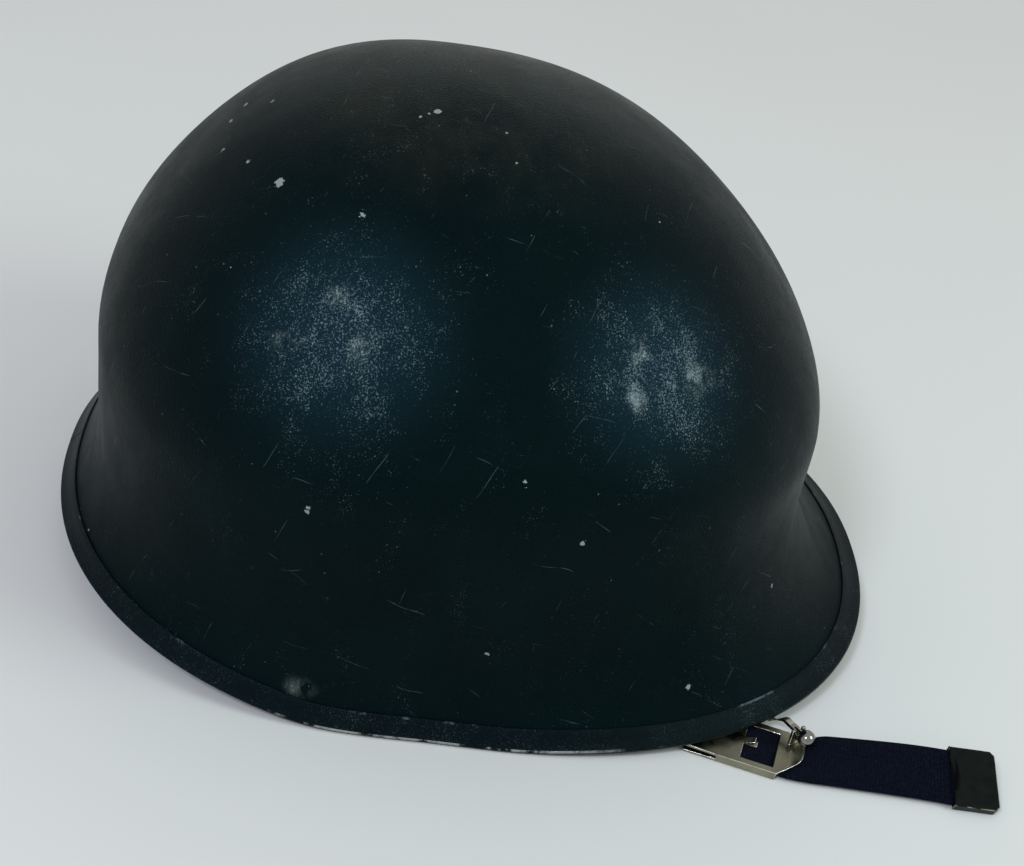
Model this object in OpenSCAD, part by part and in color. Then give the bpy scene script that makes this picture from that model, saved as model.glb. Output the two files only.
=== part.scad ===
// Gendarmerie service helmet: steel shell, webbing chinstrap with ball release, and inner liner.
// Front (visor) faces -Y, the wearer's left is +X, +Z is up. The rim rests on the plane z = 0.

/* [Shell] */
// Half width of the shell wall, ear to ear
wall_half_w = 115; // [105:0.5:125]
// Reach of the wall ahead of the ears
wall_front = 130; // [115:0.5:140]
// Reach of the wall behind the ears
wall_rear = 118; // [105:0.5:130]
// Squareness of the outline seen from above, 2 is an ellipse
plan_power = 2.35; // [2.1:0.05:2.6]
// Height of the plain wall band between the flare and the dome
wall_band = 10; // [5:0.5:20]
// Height of the dome above the wall
dome_h = 98.5; // [85:0.5:110]
// How far the dome is drawn in halfway up, as a share of its width
dome_pinch = 0.075; // [0:0.005:0.12]
// How far the top of the dome leans to the rear
crown_lean = 8; // [0:0.5:14]
// How much the wall narrows from the dome down to the rim
wall_draft = 1.5; // [0:0.1:4]
// Thickness of the pressed sheet
sheet_t = 1.1; // [0.8:0.05:1.6]

/* [Brim] */
// How far the visor stands out from the wall
visor_reach = 36; // [28:0.5:42]
// How far the rim stands out at the ears
ear_reach = 4.5; // [3:0.5:8]
// How far the rim stands out at the nape
nape_reach = 12.5; // [8:0.5:18]
// Rise of the rim from the ears to the visor
visor_rise = 8; // [6:0.5:12]
// Rise of the rim from the ears to the nape
nape_rise = 17; // [8:0.5:22]
// Height over which the wall turns out to the visor
flare_h = 52; // [44:0.5:60]
// Tilt of the rim at a reach of nothing, against a level visor
flare_tilt = 12; // [8:0.5:18]
// How quickly the brim widens towards front and rear
reach_power = 1.85; // [1.4:0.05:2.4]
// How softly the rim leaves the level stretch
rise_ease = 0.2; // [0.1:0.05:0.4]
// Share of the outline at each ear where the rim lies level
level_share = 0.2; // [0.15:0.05:0.4]

/* [Rim edging] */
// Thickness of the edging strip
edging_t = 0.5; // [0.3:0.05:0.8]
// Width of the edging on the outer face
edging_out_w = 7.5; // [5:0.5:9]
// Width of the edging on the inner face
edging_in_w = 5; // [3:0.5:7]
// Gap between the two ends of the edging, at the nape
edging_joint = 0.6; // [0.2:0.1:2]

/* [Strap bails] */
// Diameter of the bail wire
bail_wire_d = 2.2; // [1.8:0.1:2.6]
// Drop from the hinge to the lower bar
bail_drop = 8; // [7:0.5:10]
// Clear width between the legs of the bail
bail_gap = 21; // [20.5:0.5:24]
// Radial clearance of the bail wire in its bracket
bail_fit = 0.08; // [0.05:0.01:0.15]
// Thickness of the bracket sheet
bracket_t = 0.8; // [0.6:0.1:1]
// Width of the bracket along the rim
bracket_w = 15; // [10:0.5:17]
// Height of the welded part of the bracket above the hinge
bracket_h = 11; // [8:0.5:13]
// Distance of the bail hinge in from the wall
bail_inset = 2; // [1.5:0.1:4]

/* [Chinstrap] */
// Width of the chinstrap webbing
strap_w = 20; // [18:0.5:20]
// Thickness of the chinstrap webbing
strap_t = 1; // [0.8:0.1:1.2]
// Clearance of the webbing above the rest plane
floor_gap = 0.15; // [0.1:0.05:0.3]
// Slack between the webbing and the wire that it goes round
wrap_slack = 0.25; // [0.2:0.05:0.4]
// Length of the sewn turn-back at each end
turnback = 12; // [10:0.5:12.5]
// Distance of the buckle from the middle plane
buckle_off = 104.5; // [103:0.5:106]
// Distance of the buckle ahead of the ears
buckle_y = 108; // [106:0.5:110]
// Outward turn of the buckle
buckle_yaw = 18; // [15:0.5:20]
// Distance of the strap tip from the middle plane
tip_off = 115.5; // [112:0.5:117]
// Distance of the strap tip ahead of the ears
tip_y = 189.5; // [184:0.5:196]
// Outward turn of the strap's tail before the tip
tail_yaw = 8; // [4:0.5:12]
// Outward turn of the strap at its tip
tip_yaw = 3; // [0:0.5:8]
// Roll of the webbing at the tip
tail_roll = 18; // [0:1:20]

/* [Buckle and hook] */
// Thickness of the buckle sheet
buckle_t = 0.8; // [0.6:0.1:0.9]
// Clearance of the webbing in the buckle
buckle_fit = 0.12; // [0.1:0.02:0.2]
// Opening angle of the buckle's rear flap
flap_angle = 2; // [1:0.5:2.5]
// Length of the buckle's rear flap
flap_len = 12; // [10:0.5:13]
// Length of the window in the buckle
window_len = 11; // [8:0.5:12]
// Width of the window in the buckle
window_w = 17; // [14:0.2:18]
// Diameter of the release ball
ball_d = 6; // [5:0.1:6.4]
// Diameter of the neck behind the ball
neck_d = 2; // [1.6:0.1:2.2]
// Height of the ball's centre
ball_h = 7.8; // [7.6:0.1:8.2]
// Direction in which the hook and its strap leave the ball
hook_yaw = 33; // [30:0.5:36]
// Width of the hook's arm
arm_w = 2.4; // [2:0.1:2.6]
// Clearance of the arm in the buckle's fork
fork_fit = 0.3; // [0.2:0.05:0.5]
// Length of the folded metal strap tip
tip_len = 15.5; // [12:0.5:18]
// Thickness of the strap tip's sheet
tip_t = 0.7; // [0.5:0.1:0.9]

/* [Liner] */
// Gap between the shell and the liner
liner_gap = 3; // [2.5:0.1:3.4]
// Gap between the shell and the liner where it seats at the crown
crown_seat = 0.3; // [0.2:0.05:0.5]
// Thickness of the liner
liner_t = 2.2; // [1.8:0.1:2.6]
// Height of the liner's edge above the rim
liner_edge = 12; // [10:0.5:16]
// Height of the liner's edge above the rim at the ears, clear of the bails
liner_notch = 23; // [22:0.5:26]
// Half width of the wearer's head at the sweatband
head_half_w = 78; // [74:0.5:82]
// Half length of the wearer's head at the sweatband
head_half_l = 98; // [92:0.5:101]
// Height of the lower edge of the sweatband
sweatband_z = 36; // [32:0.5:42]
// Height of the sweatband
sweatband_w = 30; // [24:0.5:36]
// Thickness of the sweatband leather
sweatband_t = 1.6; // [1.2:0.1:2]
// Width of the liner's webbing
web_w = 25; // [22:0.5:27]
// Thickness of the liner's webbing
web_t = 1.3; // [1:0.1:1.5]
// Width of the crown straps
crown_w = 19; // [16:0.5:22]
// Gap between neighbouring layers inside the liner
layer_gap = 0.15; // [0.1:0.05:0.3]
// Depth of the crown straps' middle below the liner
crown_sag = 24; // [18:0.5:30]
// Diameter of the rivet shanks
rivet_d = 3.2; // [2.6:0.1:3.6]
// Diameter of the rivet heads
rivet_head_d = 8; // [7:0.2:9]
// Diameter of the bore in the front eyelet
eyelet_bore = 5; // [4:0.1:6]

/* [Hidden] */

$fn = 32;
eps = 0.01;
// Running gap between the edging and the sheet that it wraps
edging_gap = 0.12;
// The outer face at the rim lies this far above the rest plane, so that the edging rests on it
ear_end = flare_end_at(ear_reach);
rim_lean = atan2(ear_reach * sin(ear_end) * (0.5 + cos(ear_end)) / flare_out(ear_end),
    flare_height_at(ear_reach) * cos(ear_end) / sin(ear_end));
rim_lift = (sheet_t + edging_gap) * sin(rim_lean) + (edging_t + edging_gap) * cos(rim_lean);
dome_z = rim_lift + max(visor_rise, nape_rise) + flare_h + wall_band;
crown_z = dome_z + dome_h;
liner_out = sheet_t + liner_gap;
liner_in = liner_out + liner_t;
shell_steps = 64;
liner_steps = 48;

// Outline of the wall seen from above: distance from the axis at angle t, 0 at the visor
function plan_r(t) =
    let (b = cos(t) > 0 ? wall_front : wall_rear)
    pow(pow(abs(sin(t)) / wall_half_w, plan_power) + pow(abs(cos(t)) / b, plan_power), -1 / plan_power);

// Swell of the reach from 0 at the ears to 1 straight ahead
function swell(t) = pow(max(0, cos(t)), reach_power);

function rim_reach(t) = ear_reach
    + (visor_reach - ear_reach) * swell(t)
    + (nape_reach - ear_reach) * swell(t + 180);

// Rise of the rim from 0 on the level stretch to 1 straight ahead, straight after a soft start
function rise(t) =
    let (x = (cos(t) - level_share) / (1 - level_share))
    (x < 0 ? 0 : x < rise_ease ? x * x / (2 * rise_ease) : x - rise_ease / 2) / (1 - rise_ease / 2);

function rim_z(t) = rim_lift + visor_rise * rise(t) + nape_rise * rise(t + 180);

// The flare is lower and ends steeper where the rim reaches out less
function flare_height_at(reach) = flare_h * pow(reach / visor_reach, 0.35);
function flare_end_at(reach) = 90 - flare_tilt * (1 - reach / visor_reach);
function flare_height(t) = flare_height_at(rim_reach(t));
function flare_end(t) = flare_end_at(rim_reach(t));

// How far the flare has turned out at an angle f, 0 at its top
function flare_out(f) = 0.5 * (1 - cos(f)) + 0.5 * sin(f) * sin(f);

// Narrowing of the wall at height z
function draft_at(t, z) = wall_draft * (dome_z - z) / (dome_z - rim_z(t));

// Profile at angle t as [radius, height, shift to the rear]: q runs 0 to 1 up the flare,
// 1 to 2 up the plain wall and 2 to 3 over the dome
function flare_point(t, v) =
    let (e = flare_end(t), f = e * v, z = rim_z(t) + flare_height(t) * (1 - sin(f) / sin(e)))
    [plan_r(t) - draft_at(t, z) + rim_reach(t) * flare_out(f) / flare_out(e), z, 0];

function wall_point(t, u) =
    let (top = rim_z(t) + flare_height(t), z = top + (dome_z - top) * u)
    [plan_r(t) - draft_at(t, z), z, 0];

function dome_point(t, a) =
    [plan_r(t) * cos(a) * (1 - dome_pinch * sin(2 * a) * sin(2 * a)), dome_z + dome_h * sin(a),
     crown_lean * sin(a)];

function profile(t, q) =
    q <= 1 ? flare_point(t, 1 - q) : q <= 2 ? wall_point(t, q - 1) : dome_point(t, 90 * (q - 2));

// Outward normal of the profile, in its own plane
function profile_normal(t, q) =
    let (
        a = profile(t, max(0, q - 0.004)),
        b = profile(t, min(3, q + 0.004)),
        d = [b[0] - a[0], b[1] - a[1]]
    )
    [d[1], -d[0]] / norm(d);

// Point of the shell's surface at t and q, moved out by d along the normal
function skin(t, q, d) =
    let (p = profile(t, q), n = profile_normal(t, q), r = p[0] + n[0] * d)
    [r * sin(t), p[2] - r * cos(t), p[1] + n[1] * d];

// Profile position of the surface, moved out by d, at height z
function q_at(t, z, d, lo = 0, hi = 3, n = 24) =
    n == 0 ? (lo + hi) / 2
    : let (mid = (lo + hi) / 2, above = skin(t, mid, d)[2] > z)
      q_at(t, z, d, above ? lo : mid, above ? mid : hi, n - 1);

// Faces of a sweep of rings of m points each, closed round each ring, and open or closed along it
function tube_faces(n, m, closed) = concat(
    [for (i = [0 : n - (closed ? 1 : 2)], j = [0 : m - 1], k = [0, 1])
        let (a = i * m + j, b = i * m + (j + 1) % m, c = ((i + 1) % n) * m + (j + 1) % m,
             d = ((i + 1) % n) * m + j)
        k == 0 ? [a, c, b] : [a, d, c]],
    closed ? [] : [[for (j = [0 : m - 1]) j]],
    closed ? [] : [[for (j = [m - 1 : -1 : 0]) (n - 1) * m + j]]
);

module sweep(rings, closed = false) {
    polyhedron([for (r = rings) each r], tube_faces(len(rings), len(rings[0]), closed), 4);
}

// A closed double-walled dome between two distances from the shell's surface, each a function of q.
// Its edge lies at the profile position q0(t), with flare_n rows up the flare, dome_n over the dome
module dome_solid(steps, q0, flare_n, dome_n, d_out, d_in) {
    nq = flare_n + dome_n + 2;
    ts = [for (j = [0 : steps - 1]) 360 * j / steps];
    row_q = function(t, i)
        i <= flare_n ? q0(t) + (1 - q0(t)) * i / flare_n
        : i == flare_n + 1 ? 1.5 : 2 + (i - flare_n - 2) / dome_n;
    outer = [for (i = [0 : nq - 1]) each
        [for (t = ts) let (q = row_q(t, i)) skin(t, q, d_out(q))]];
    inner = [for (i = [0 : nq - 1]) each
        [for (t = ts) let (q = row_q(t, i)) skin(t, q, d_in(q))]];
    tops = [[0, crown_lean, crown_z + d_out(3)], [0, crown_lean, crown_z + d_in(3)]];
    base = nq * steps;
    faces = concat(
        [for (i = [0 : nq - 2], j = [0 : steps - 1], k = [0, 1])
            let (a = i * steps + j, b = i * steps + (j + 1) % steps, c = b + steps, d = a + steps)
            k == 0 ? [a, d, c] : [a, c, b]],
        [for (i = [0 : nq - 2], j = [0 : steps - 1], k = [0, 1])
            let (a = base + i * steps + j, b = base + i * steps + (j + 1) % steps, c = b + steps,
                 d = a + steps)
            k == 0 ? [a, c, d] : [a, b, c]],
        [for (j = [0 : steps - 1], k = [0, 1])
            let (j2 = (j + 1) % steps)
            k == 0 ? [j, j2, base + j2] : [j, base + j2, base + j]],
        [for (j = [0 : steps - 1]) [base - steps + j, 2 * base, base - steps + (j + 1) % steps]],
        [for (j = [0 : steps - 1])
            [2 * base - steps + j, 2 * base - steps + (j + 1) % steps, 2 * base + 1]]
    );
    polyhedron(concat(outer, inner, tops), faces, 4);
}

module steel_shell() {
    color("#1b2a2e")
        dome_solid(shell_steps, function(t) 0, 9, 14, function(q) 0, function(q) -sheet_t);
}

// Profile position at a distance s up the surface from the rim edge, by stepping along it
function q_up(t, s, q = 0, done = 0) =
    let (
        step = 0.02,
        a = profile(t, q),
        b = profile(t, q + step),
        l = norm([b[0] - a[0], b[1] - a[1]])
    )
    done + l >= s ? q + step * (s - done) / l : q_up(t, s, q + step, done + l);

// Section of the edging at angle t: up the outer face, round the rim edge and up the inner face
function edging_ring(t) =
    let (
        out_near = edging_gap,
        out_far = edging_gap + edging_t,
        in_near = -sheet_t - edging_gap,
        in_far = -sheet_t - edging_gap - edging_t,
        qa = q_up(t, edging_out_w),
        qb = q_up(t, edging_out_w / 2),
        qc = q_up(t, edging_in_w),
        qd = q_up(t, edging_in_w / 2),
        n = profile_normal(t, 0),
        e = profile(t, 0),
        side = [n[1], -n[0]],
        nose = function(d, out)
            let (r = e[0] + n[0] * d + side[0] * out, z = e[1] + n[1] * d + side[1] * out)
            [r * sin(t), -r * cos(t), z]
    )
    [
        skin(t, qa, out_near), skin(t, qa, out_far), skin(t, qb, out_far), nose(out_far, 0),
        nose(edging_gap, edging_gap + edging_t), nose(-sheet_t - edging_gap, edging_gap + edging_t),
        nose(in_far, 0), skin(t, qd, in_far), skin(t, qc, in_far),
        skin(t, qc, in_near), skin(t, qd, in_near), nose(in_near, edging_gap / 2),
        nose(-sheet_t / 2, edging_gap), nose(out_near, edging_gap / 2), skin(t, qb, out_near)
    ];

module rim_edging() {
    half_joint = edging_joint / 2 / (wall_rear + nape_reach) * 180 / PI;
    ts = [for (j = [0 : shell_steps])
        j == 0 ? 180 + half_joint : j == shell_steps ? 540 - half_joint : 180 + 360 * j / shell_steps];
    color("#22343a")
        sweep([for (t = ts) edging_ring(t)]);
}

// Bails and their brackets. The hinge line runs along Y beside the ear, on the shell's inner face
bail_r = bail_wire_d / 2;
wrap_r = bail_r + wrap_slack + strap_t / 2;
strap_z = floor_gap + strap_t / 2;
bail_bar_z = strap_z + wrap_r;
bail_hinge_z = bail_bar_z + bail_drop;
hinge_q = q_at(90, bail_hinge_z, -sheet_t);
hinge_wall_x = skin(90, hinge_q, -sheet_t)[0];
fold_r = bail_r + bail_fit + bracket_t;
bail_x = hinge_wall_x - bail_inset - fold_r / 2;
bracket_top = skin(90, q_at(90, bail_hinge_z + bracket_h, -sheet_t), -sheet_t);
bracket_lean = atan2(hinge_wall_x - bracket_top[0], bracket_h);
// The inside of the wall curves away from a flat plate by this much at the plate's ends
bracket_clear = 0.25;
wall_bow = hinge_wall_x - skin(90 + atan2(bracket_w / 2, hinge_wall_x), hinge_q, -sheet_t)[0];

// Placed for the wearer's left, and mirrored for the right
module loop_bracket() {
    plate_x = hinge_wall_x - wall_bow - bracket_clear - bracket_t;
    color("#20292b")
        difference() {
            union() {
                translate([plate_x, -bracket_w / 2, bail_hinge_z])
                    rotate([0, -bracket_lean, 0])
                        cube([bracket_t, bracket_w, bracket_h]);
                translate([bail_x, -bracket_w / 2, bail_hinge_z + fold_r - bracket_t])
                    cube([plate_x + bracket_t - bail_x, bracket_w, bracket_t]);
                translate([bail_x, bracket_w / 2, bail_hinge_z])
                    rotate([90, 0, 0])
                        cylinder(h = bracket_w, r = fold_r);
            }
            translate([bail_x, bracket_w / 2 + 1, bail_hinge_z])
                rotate([90, 0, 0])
                    cylinder(h = bracket_w + 2, r = bail_r + bail_fit);
        }
}

module loop_bracket_left() {
    loop_bracket();
}

module loop_bracket_right() {
    mirror([1, 0, 0])
        loop_bracket();
}

// A closed rectangle of wire with round corners, hanging from its upper bar
module strap_bail() {
    bend = 1.6;
    half = bail_gap / 2 + bail_r;
    color("#3a4043")
        translate([bail_x, 0, bail_hinge_z])
            rotate([0, 90, 0]) {
                for (s = [-1, 1]) {
                    translate([bend, s * half, 0])
                        rotate([0, 90, 0])
                            cylinder(h = bail_drop - 2 * bend, r = bail_r);
                    translate([s < 0 ? 0 : bail_drop, half - bend, 0])
                        rotate([90, 0, 0])
                            cylinder(h = 2 * (half - bend), r = bail_r);
                    for (e = [0, 1])
                        translate([e == 0 ? bend : bail_drop - bend, s * (half - bend), 0])
                            rotate([0, 0, e == 0 ? (s < 0 ? 180 : 90) : (s < 0 ? 270 : 0)])
                                rotate_extrude(angle = 90)
                                    translate([bend, 0])
                                        circle(r = bail_r);
                }
            }
}

module strap_bail_left() {
    strap_bail();
}

module strap_bail_right() {
    mirror([1, 0, 0])
        strap_bail();
}

// A station of flat webbing: [x, y, z, heading, pitch, roll], in degrees
function ribbon_ring(s, w, t) =
    let (
        h = s[3],
        p = s[4],
        n0 = [-cos(h) * sin(p), -sin(h) * sin(p), cos(p)],
        w0 = [-sin(h), cos(h), 0],
        wv = w0 * cos(s[5]) + n0 * sin(s[5]),
        nv = n0 * cos(s[5]) - w0 * sin(s[5])
    )
    edge_ring([s[0], s[1], s[2]] + wv * w / 2, [s[0], s[1], s[2]] - wv * w / 2, nv, t);

// Section of webbing between its two edges
function edge_ring(a, b, n, t) = [a + n * t / 2, b + n * t / 2, b - n * t / 2, a - n * t / 2];

function bezier(p, u) = p[0] * pow(1 - u, 3) + p[1] * 3 * u * pow(1 - u, 2) + p[2] * 3 * u * u * (1 - u)
    + p[3] * pow(u, 3);

function bezier_dir(p, u) = (p[1] - p[0]) * pow(1 - u, 2) + (p[2] - p[1]) * 2 * u * (1 - u)
    + (p[3] - p[2]) * u * u;

function heading(d) = atan2(d[1], d[0]);

function smooth(u) = let (v = min(1, max(0, u))) v * v * (3 - 2 * v);

// The webbing comes down to its turn-back this far from a bail, at this slope
lead_x = 3.5;
lead_slope = 22;

// The right bail's loop, the diagonal fold beside it and the run forward to the buckle
fold_x = -bail_x + turnback + 1;
layer_z = strap_z + strap_t + 2 * layer_gap;
buckle_strap_z = floor_gap + buckle_t + buckle_fit + strap_t / 2;

// The buckle's frame has x along the strap towards its tail, y across towards the wearer's left
buckle_heading = 270 - buckle_yaw;
buckle_at = [-buckle_off, -buckle_y];
along = [cos(buckle_heading), sin(buckle_heading)];
across = [-sin(buckle_heading), cos(buckle_heading)];
function in_buckle(x, y) = buckle_at + along * x + across * y;
sleeve_rear = -6;
sleeve_front = 14;
flap_rear = sleeve_rear - flap_len;

right_loop = concat(
    [[-bail_x + turnback, 0, layer_z, 180, 0, 0], [-bail_x + turnback - 3, 0, layer_z, 180, 0, 0],
     [-bail_x + lead_x, 0, bail_bar_z + wrap_r * 0.8, 180, lead_slope, 0]],
    [for (p = [0 : -30 : -180])
        [-bail_x - wrap_r * sin(-p), 0, bail_bar_z + wrap_r * cos(p), 180, p, 0]],
    [[fold_x - 1, 0, strap_z, 180, -180, 0]]
);

fold_radius = (layer_z - strap_z) / 2;
fold_a = [fold_x + strap_w, -strap_w / 2];
fold_b = [fold_x, strap_w / 2];
fold_dir = [sqrt(0.5), sqrt(0.5)];

function fold_ring(s) =
    let (
        off = fold_dir * fold_radius * sin(s),
        z = strap_z + fold_radius * (1 - cos(s)),
        n = [fold_dir[0] * sin(s), fold_dir[1] * sin(s), -cos(s)]
    )
    edge_ring([fold_a[0] + off[0], fold_a[1] + off[1], z], [fold_b[0] + off[0], fold_b[1] + off[1], z],
        n, strap_t);

run_start = [fold_x + strap_w / 2, -strap_w / 2 - 2];
run_end = in_buckle(flap_rear - 1, 0);
run_path = [run_start, run_start - [0, 30], run_end - along * 28, run_end];
tail_start = in_buckle(sleeve_front + 2, 0);
tail_end = [-tip_off, -tip_y];
tip_heading = 270 - tip_yaw;
tip_along = [cos(tip_heading), sin(tip_heading)];
tail_in = tail_end - tip_along * (tip_len - 2.5);
tail_path = [tail_start, tail_start + along * 5, tail_in + [sin(tail_yaw), cos(tail_yaw)] * 20, tail_in];
tip_fit = 0.2;
tip_half_w = strap_w / 2 + tip_fit + tip_t;
tip_half_h = strap_t / 2 + tip_fit + tip_t;
// The middle of the webbing at the tip, with the tip's lower corner just above the rest plane
tail_end_z = floor_gap + tip_half_w * sin(tail_roll) + tip_half_h * cos(tail_roll);

function run_z(u) = u < 0.02 ? layer_z : strap_z + (layer_z - strap_z) * (1 - smooth(u / 0.22))
    + (buckle_strap_z - strap_z) * smooth((u - 0.8) / 0.2);

run = [for (i = [0 : 12])
    let (u = i / 12, p = bezier(run_path, u))
    [p[0], p[1], run_z(u), heading(bezier_dir(run_path, u)), 0, 0]];

sleeve_run = [for (x = [flap_rear + 1, sleeve_front])
    let (p = in_buckle(x, 0))
    [p[0], p[1], buckle_strap_z, buckle_heading, 0, 0]];

// The tail lies on its outer edge: it rolls partly just past the buckle, and fully towards the tip
tail_early = 0.45;
tail_from = 0.17;
function tail_share(u) =
    tail_early * smooth((u - tail_from) / 0.22) + (1 - tail_early) * smooth((u - tail_from) / (1 - tail_from));

tail = concat(
    [for (i = [0 : 10])
        let (u = i / 10, p = bezier(tail_path, u))
        [p[0], p[1], buckle_strap_z + (tail_end_z - buckle_strap_z) * tail_share(u),
         heading(bezier_dir(tail_path, u)), 0, tail_roll * tail_share(u)]],
    [[tail_end[0], tail_end[1], tail_end_z, tip_heading, 0, tail_roll]]
);

module buckle_strap() {
    color("#141a2c")
        sweep(concat(
            [for (s = right_loop) ribbon_ring(s, strap_w, strap_t)],
            [for (s = [0 : 45 : 180]) fold_ring(s)],
            [for (s = concat(run, sleeve_run, tail)) ribbon_ring(s, strap_w, strap_t)]
        ));
}

// The ball hook: a ball on a neck, a long arm that dips under the rim, and a slotted plate
ball_x = 20.6;
ball_side = 4.5;
ball_at = concat(in_buckle(ball_x, ball_side), ball_h);
hook_dir = [cos(hook_yaw), sin(hook_yaw), 0];
hook_bar_r = 1.8;
hook_bar_z = strap_z + hook_bar_r;
hook_plate_a = 28;
hook_bar_a = 36.5;
hook_plate_t = 1.2;
hook_bar_w = 1.4;
hook_margin = 2.4;
neck_end = 5.4;

function hook_point(a, z) = [ball_at[0] + hook_dir[0] * a, ball_at[1] + hook_dir[1] * a, z];

// The arm's middle line: distance from the ball, height, slope
arm_line = [[neck_end - 0.6, ball_h, 0], [10, ball_h, -4], [11.6, ball_h - 0.7, -38],
    [13.4, hook_bar_z + 2.7, -50], [15.2, hook_bar_z + 0.8, -36], [17, hook_bar_z + 0.1, -12],
    [19, hook_bar_z, 0], [hook_plate_a + 2, hook_bar_z, 0]];

module ball_hook() {
    half = strap_w / 2 + hook_margin;
    slot = 3.1;
    color("#8d9088") {
        translate(ball_at)
            sphere(d = ball_d);
        translate(ball_at)
            rotate([0, 90, hook_yaw])
                cylinder(h = neck_end, d = neck_d);
        sweep([for (p = arm_line)
            let (at = hook_point(p[0], p[1]))
            ribbon_ring([at[0], at[1], at[2], hook_yaw, -p[2], 0], arm_w, hook_plate_t)]);
        translate([ball_at[0], ball_at[1], hook_bar_z - hook_plate_t / 2])
            rotate([0, 0, hook_yaw])
                linear_extrude(height = hook_plate_t)
                    difference() {
                        polygon([[hook_plate_a, -3], [hook_plate_a + 2.5, -half],
                            [hook_bar_a + hook_bar_w / 2, -half], [hook_bar_a + hook_bar_w / 2, half],
                            [hook_plate_a + 2.5, half], [hook_plate_a, 3]]);
                        translate([hook_bar_a - hook_bar_w / 2 - slot, -half + 1.8])
                            square([slot, 2 * half - 3.6]);
                    }
    }
}

// The hook's strap: turned back round the plate's bar, straight across and round the left bail
cross_start = hook_point(hook_bar_a, 0);
cross_end = [bail_x, 0];
cross_path = [[cross_start[0], cross_start[1]], [cross_start[0], cross_start[1]] + [hook_dir[0],
    hook_dir[1]] * 62, cross_end - [75, 0], cross_end];

hook_end = concat(
    [for (p = [[hook_bar_a + turnback, layer_z, 0], [hook_bar_a + turnback - 3, layer_z, 0],
               [hook_bar_a + 3.2, hook_bar_z + hook_bar_r * 0.85, 18]])
        let (at = hook_point(p[0], p[1]))
        [at[0], at[1], at[2], hook_yaw + 180, p[2], 0]],
    [for (p = [0 : -30 : -180])
        let (at = hook_point(hook_bar_a - hook_bar_r * sin(-p), hook_bar_z + hook_bar_r * cos(p)))
        [at[0], at[1], at[2], hook_yaw + 180, p, 0]]
);

cross_run = [for (i = [1 : 15])
    let (u = i / 16, p = bezier(cross_path, u), h = heading(bezier_dir(cross_path, u)))
    [p[0], p[1], strap_z, h + 180, -180, 0]];

left_loop = concat(
    [for (p = [-180 : -30 : -360])
        [bail_x + wrap_r * sin(-p - 180), 0, bail_bar_z - wrap_r * cos(p + 180), 180, p, 0]],
    [[bail_x - lead_x, 0, bail_bar_z + wrap_r * 0.8, 180, lead_slope - 360, 0],
     [bail_x - turnback + 3, 0, layer_z, 180, -360, 0], [bail_x - turnback, 0, layer_z, 180, -360, 0]]
);

module hook_strap() {
    color("#141a2c")
        sweep([for (s = concat(hook_end, cross_run, left_loop)) ribbon_ring(s, strap_w, strap_t)]);
}

// The buckle: a sheet folded to a sleeve round the webbing, with a window, a prong in the window,
// a rear flap that lifts, and a raised tongue in front whose fork holds the neck of the ball
buckle_half = strap_w / 2 + buckle_fit + buckle_t;
slot_top = buckle_t + strap_t + 2 * buckle_fit;
flap_rise = flap_len * tan(flap_angle);
window_x = 1.5;
tongue_x = 21.5;
tongue_z = 3.7;
fork_a = 4.1;
fork_t = 1;

// Side view of the upper plate: rear flap, flat top and rising tongue
module buckle_side() {
    polygon([[flap_rear, slot_top + flap_rise], [sleeve_rear, slot_top], [sleeve_front, slot_top],
        [17, slot_top + 0.2], [19.6, slot_top + 0.8], [tongue_x, tongue_z],
        [tongue_x - 0.5, tongue_z + buckle_t], [19.2, slot_top + 0.8 + buckle_t],
        [16.8, slot_top + 0.2 + buckle_t], [sleeve_front, slot_top + buckle_t],
        [sleeve_rear, slot_top + buckle_t], [flap_rear, slot_top + buckle_t + flap_rise]]);
}

// Plan of the upper plate: full width over the webbing, tapering to a round tongue
module buckle_plan() {
    polygon([[flap_rear, -buckle_half + 1], [flap_rear + 1, -buckle_half], [sleeve_front, -buckle_half],
        [20.3, -3.9], [21.2, -2], [tongue_x, 0], [21.2, 2.4], [20.3, 4.4], [18.6, 7.2],
        [sleeve_front + 1, buckle_half], [flap_rear + 1, buckle_half], [flap_rear, buckle_half - 1]]);
}

module strap_buckle() {
    fork_half = 2.9;
    fork_gap = arm_w + 2 * fork_fit;
    fork_base = slot_top + 0.4;
    prong_w = 2.8;
    prong_x = 3;
    color("#9a9a86")
        translate([buckle_at[0], buckle_at[1], floor_gap])
            rotate([0, 0, buckle_heading])
                difference() {
                    union() {
                        intersection() {
                            translate([0, buckle_half, 0])
                                rotate([90, 0, 0])
                                    linear_extrude(height = 2 * buckle_half)
                                        buckle_side();
                            linear_extrude(height = 20)
                                buckle_plan();
                        }
                        translate([flap_rear + 1, -buckle_half, 0])
                            cube([sleeve_front - flap_rear - 1, 2 * buckle_half, buckle_t]);
                        for (s = [-1, 1])
                            translate([sleeve_rear, s < 0 ? -buckle_half : buckle_half - buckle_t, 0])
                                cube([sleeve_front - sleeve_rear, buckle_t, slot_top + buckle_t / 2]);
                        translate([window_x, -prong_w / 2, slot_top])
                            rotate([0, -25, 0])
                                cube([4.2, prong_w, buckle_t]);
                        translate([ball_x, ball_side, fork_base])
                            rotate([0, 0, hook_yaw - buckle_heading])
                                translate([fork_a - fork_t / 2, -fork_half, 0])
                                    difference() {
                                        cube([fork_t, 2 * fork_half, ball_h + 1 - floor_gap - fork_base]);
                                        translate([-1, fork_half - fork_gap / 2, ball_h - floor_gap
                                            - fork_base - hook_plate_t - fork_fit])
                                            cube([fork_t + 2, fork_gap, 10]);
                                    }
                    }
                    translate([window_x, -window_w / 2, slot_top - 1])
                        difference() {
                            cube([window_len, window_w, 6]);
                            translate([-1, (window_w - prong_w) / 2, -1])
                                cube([prong_x + 2.5, prong_w, 8]);
                        }
                }
}

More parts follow.
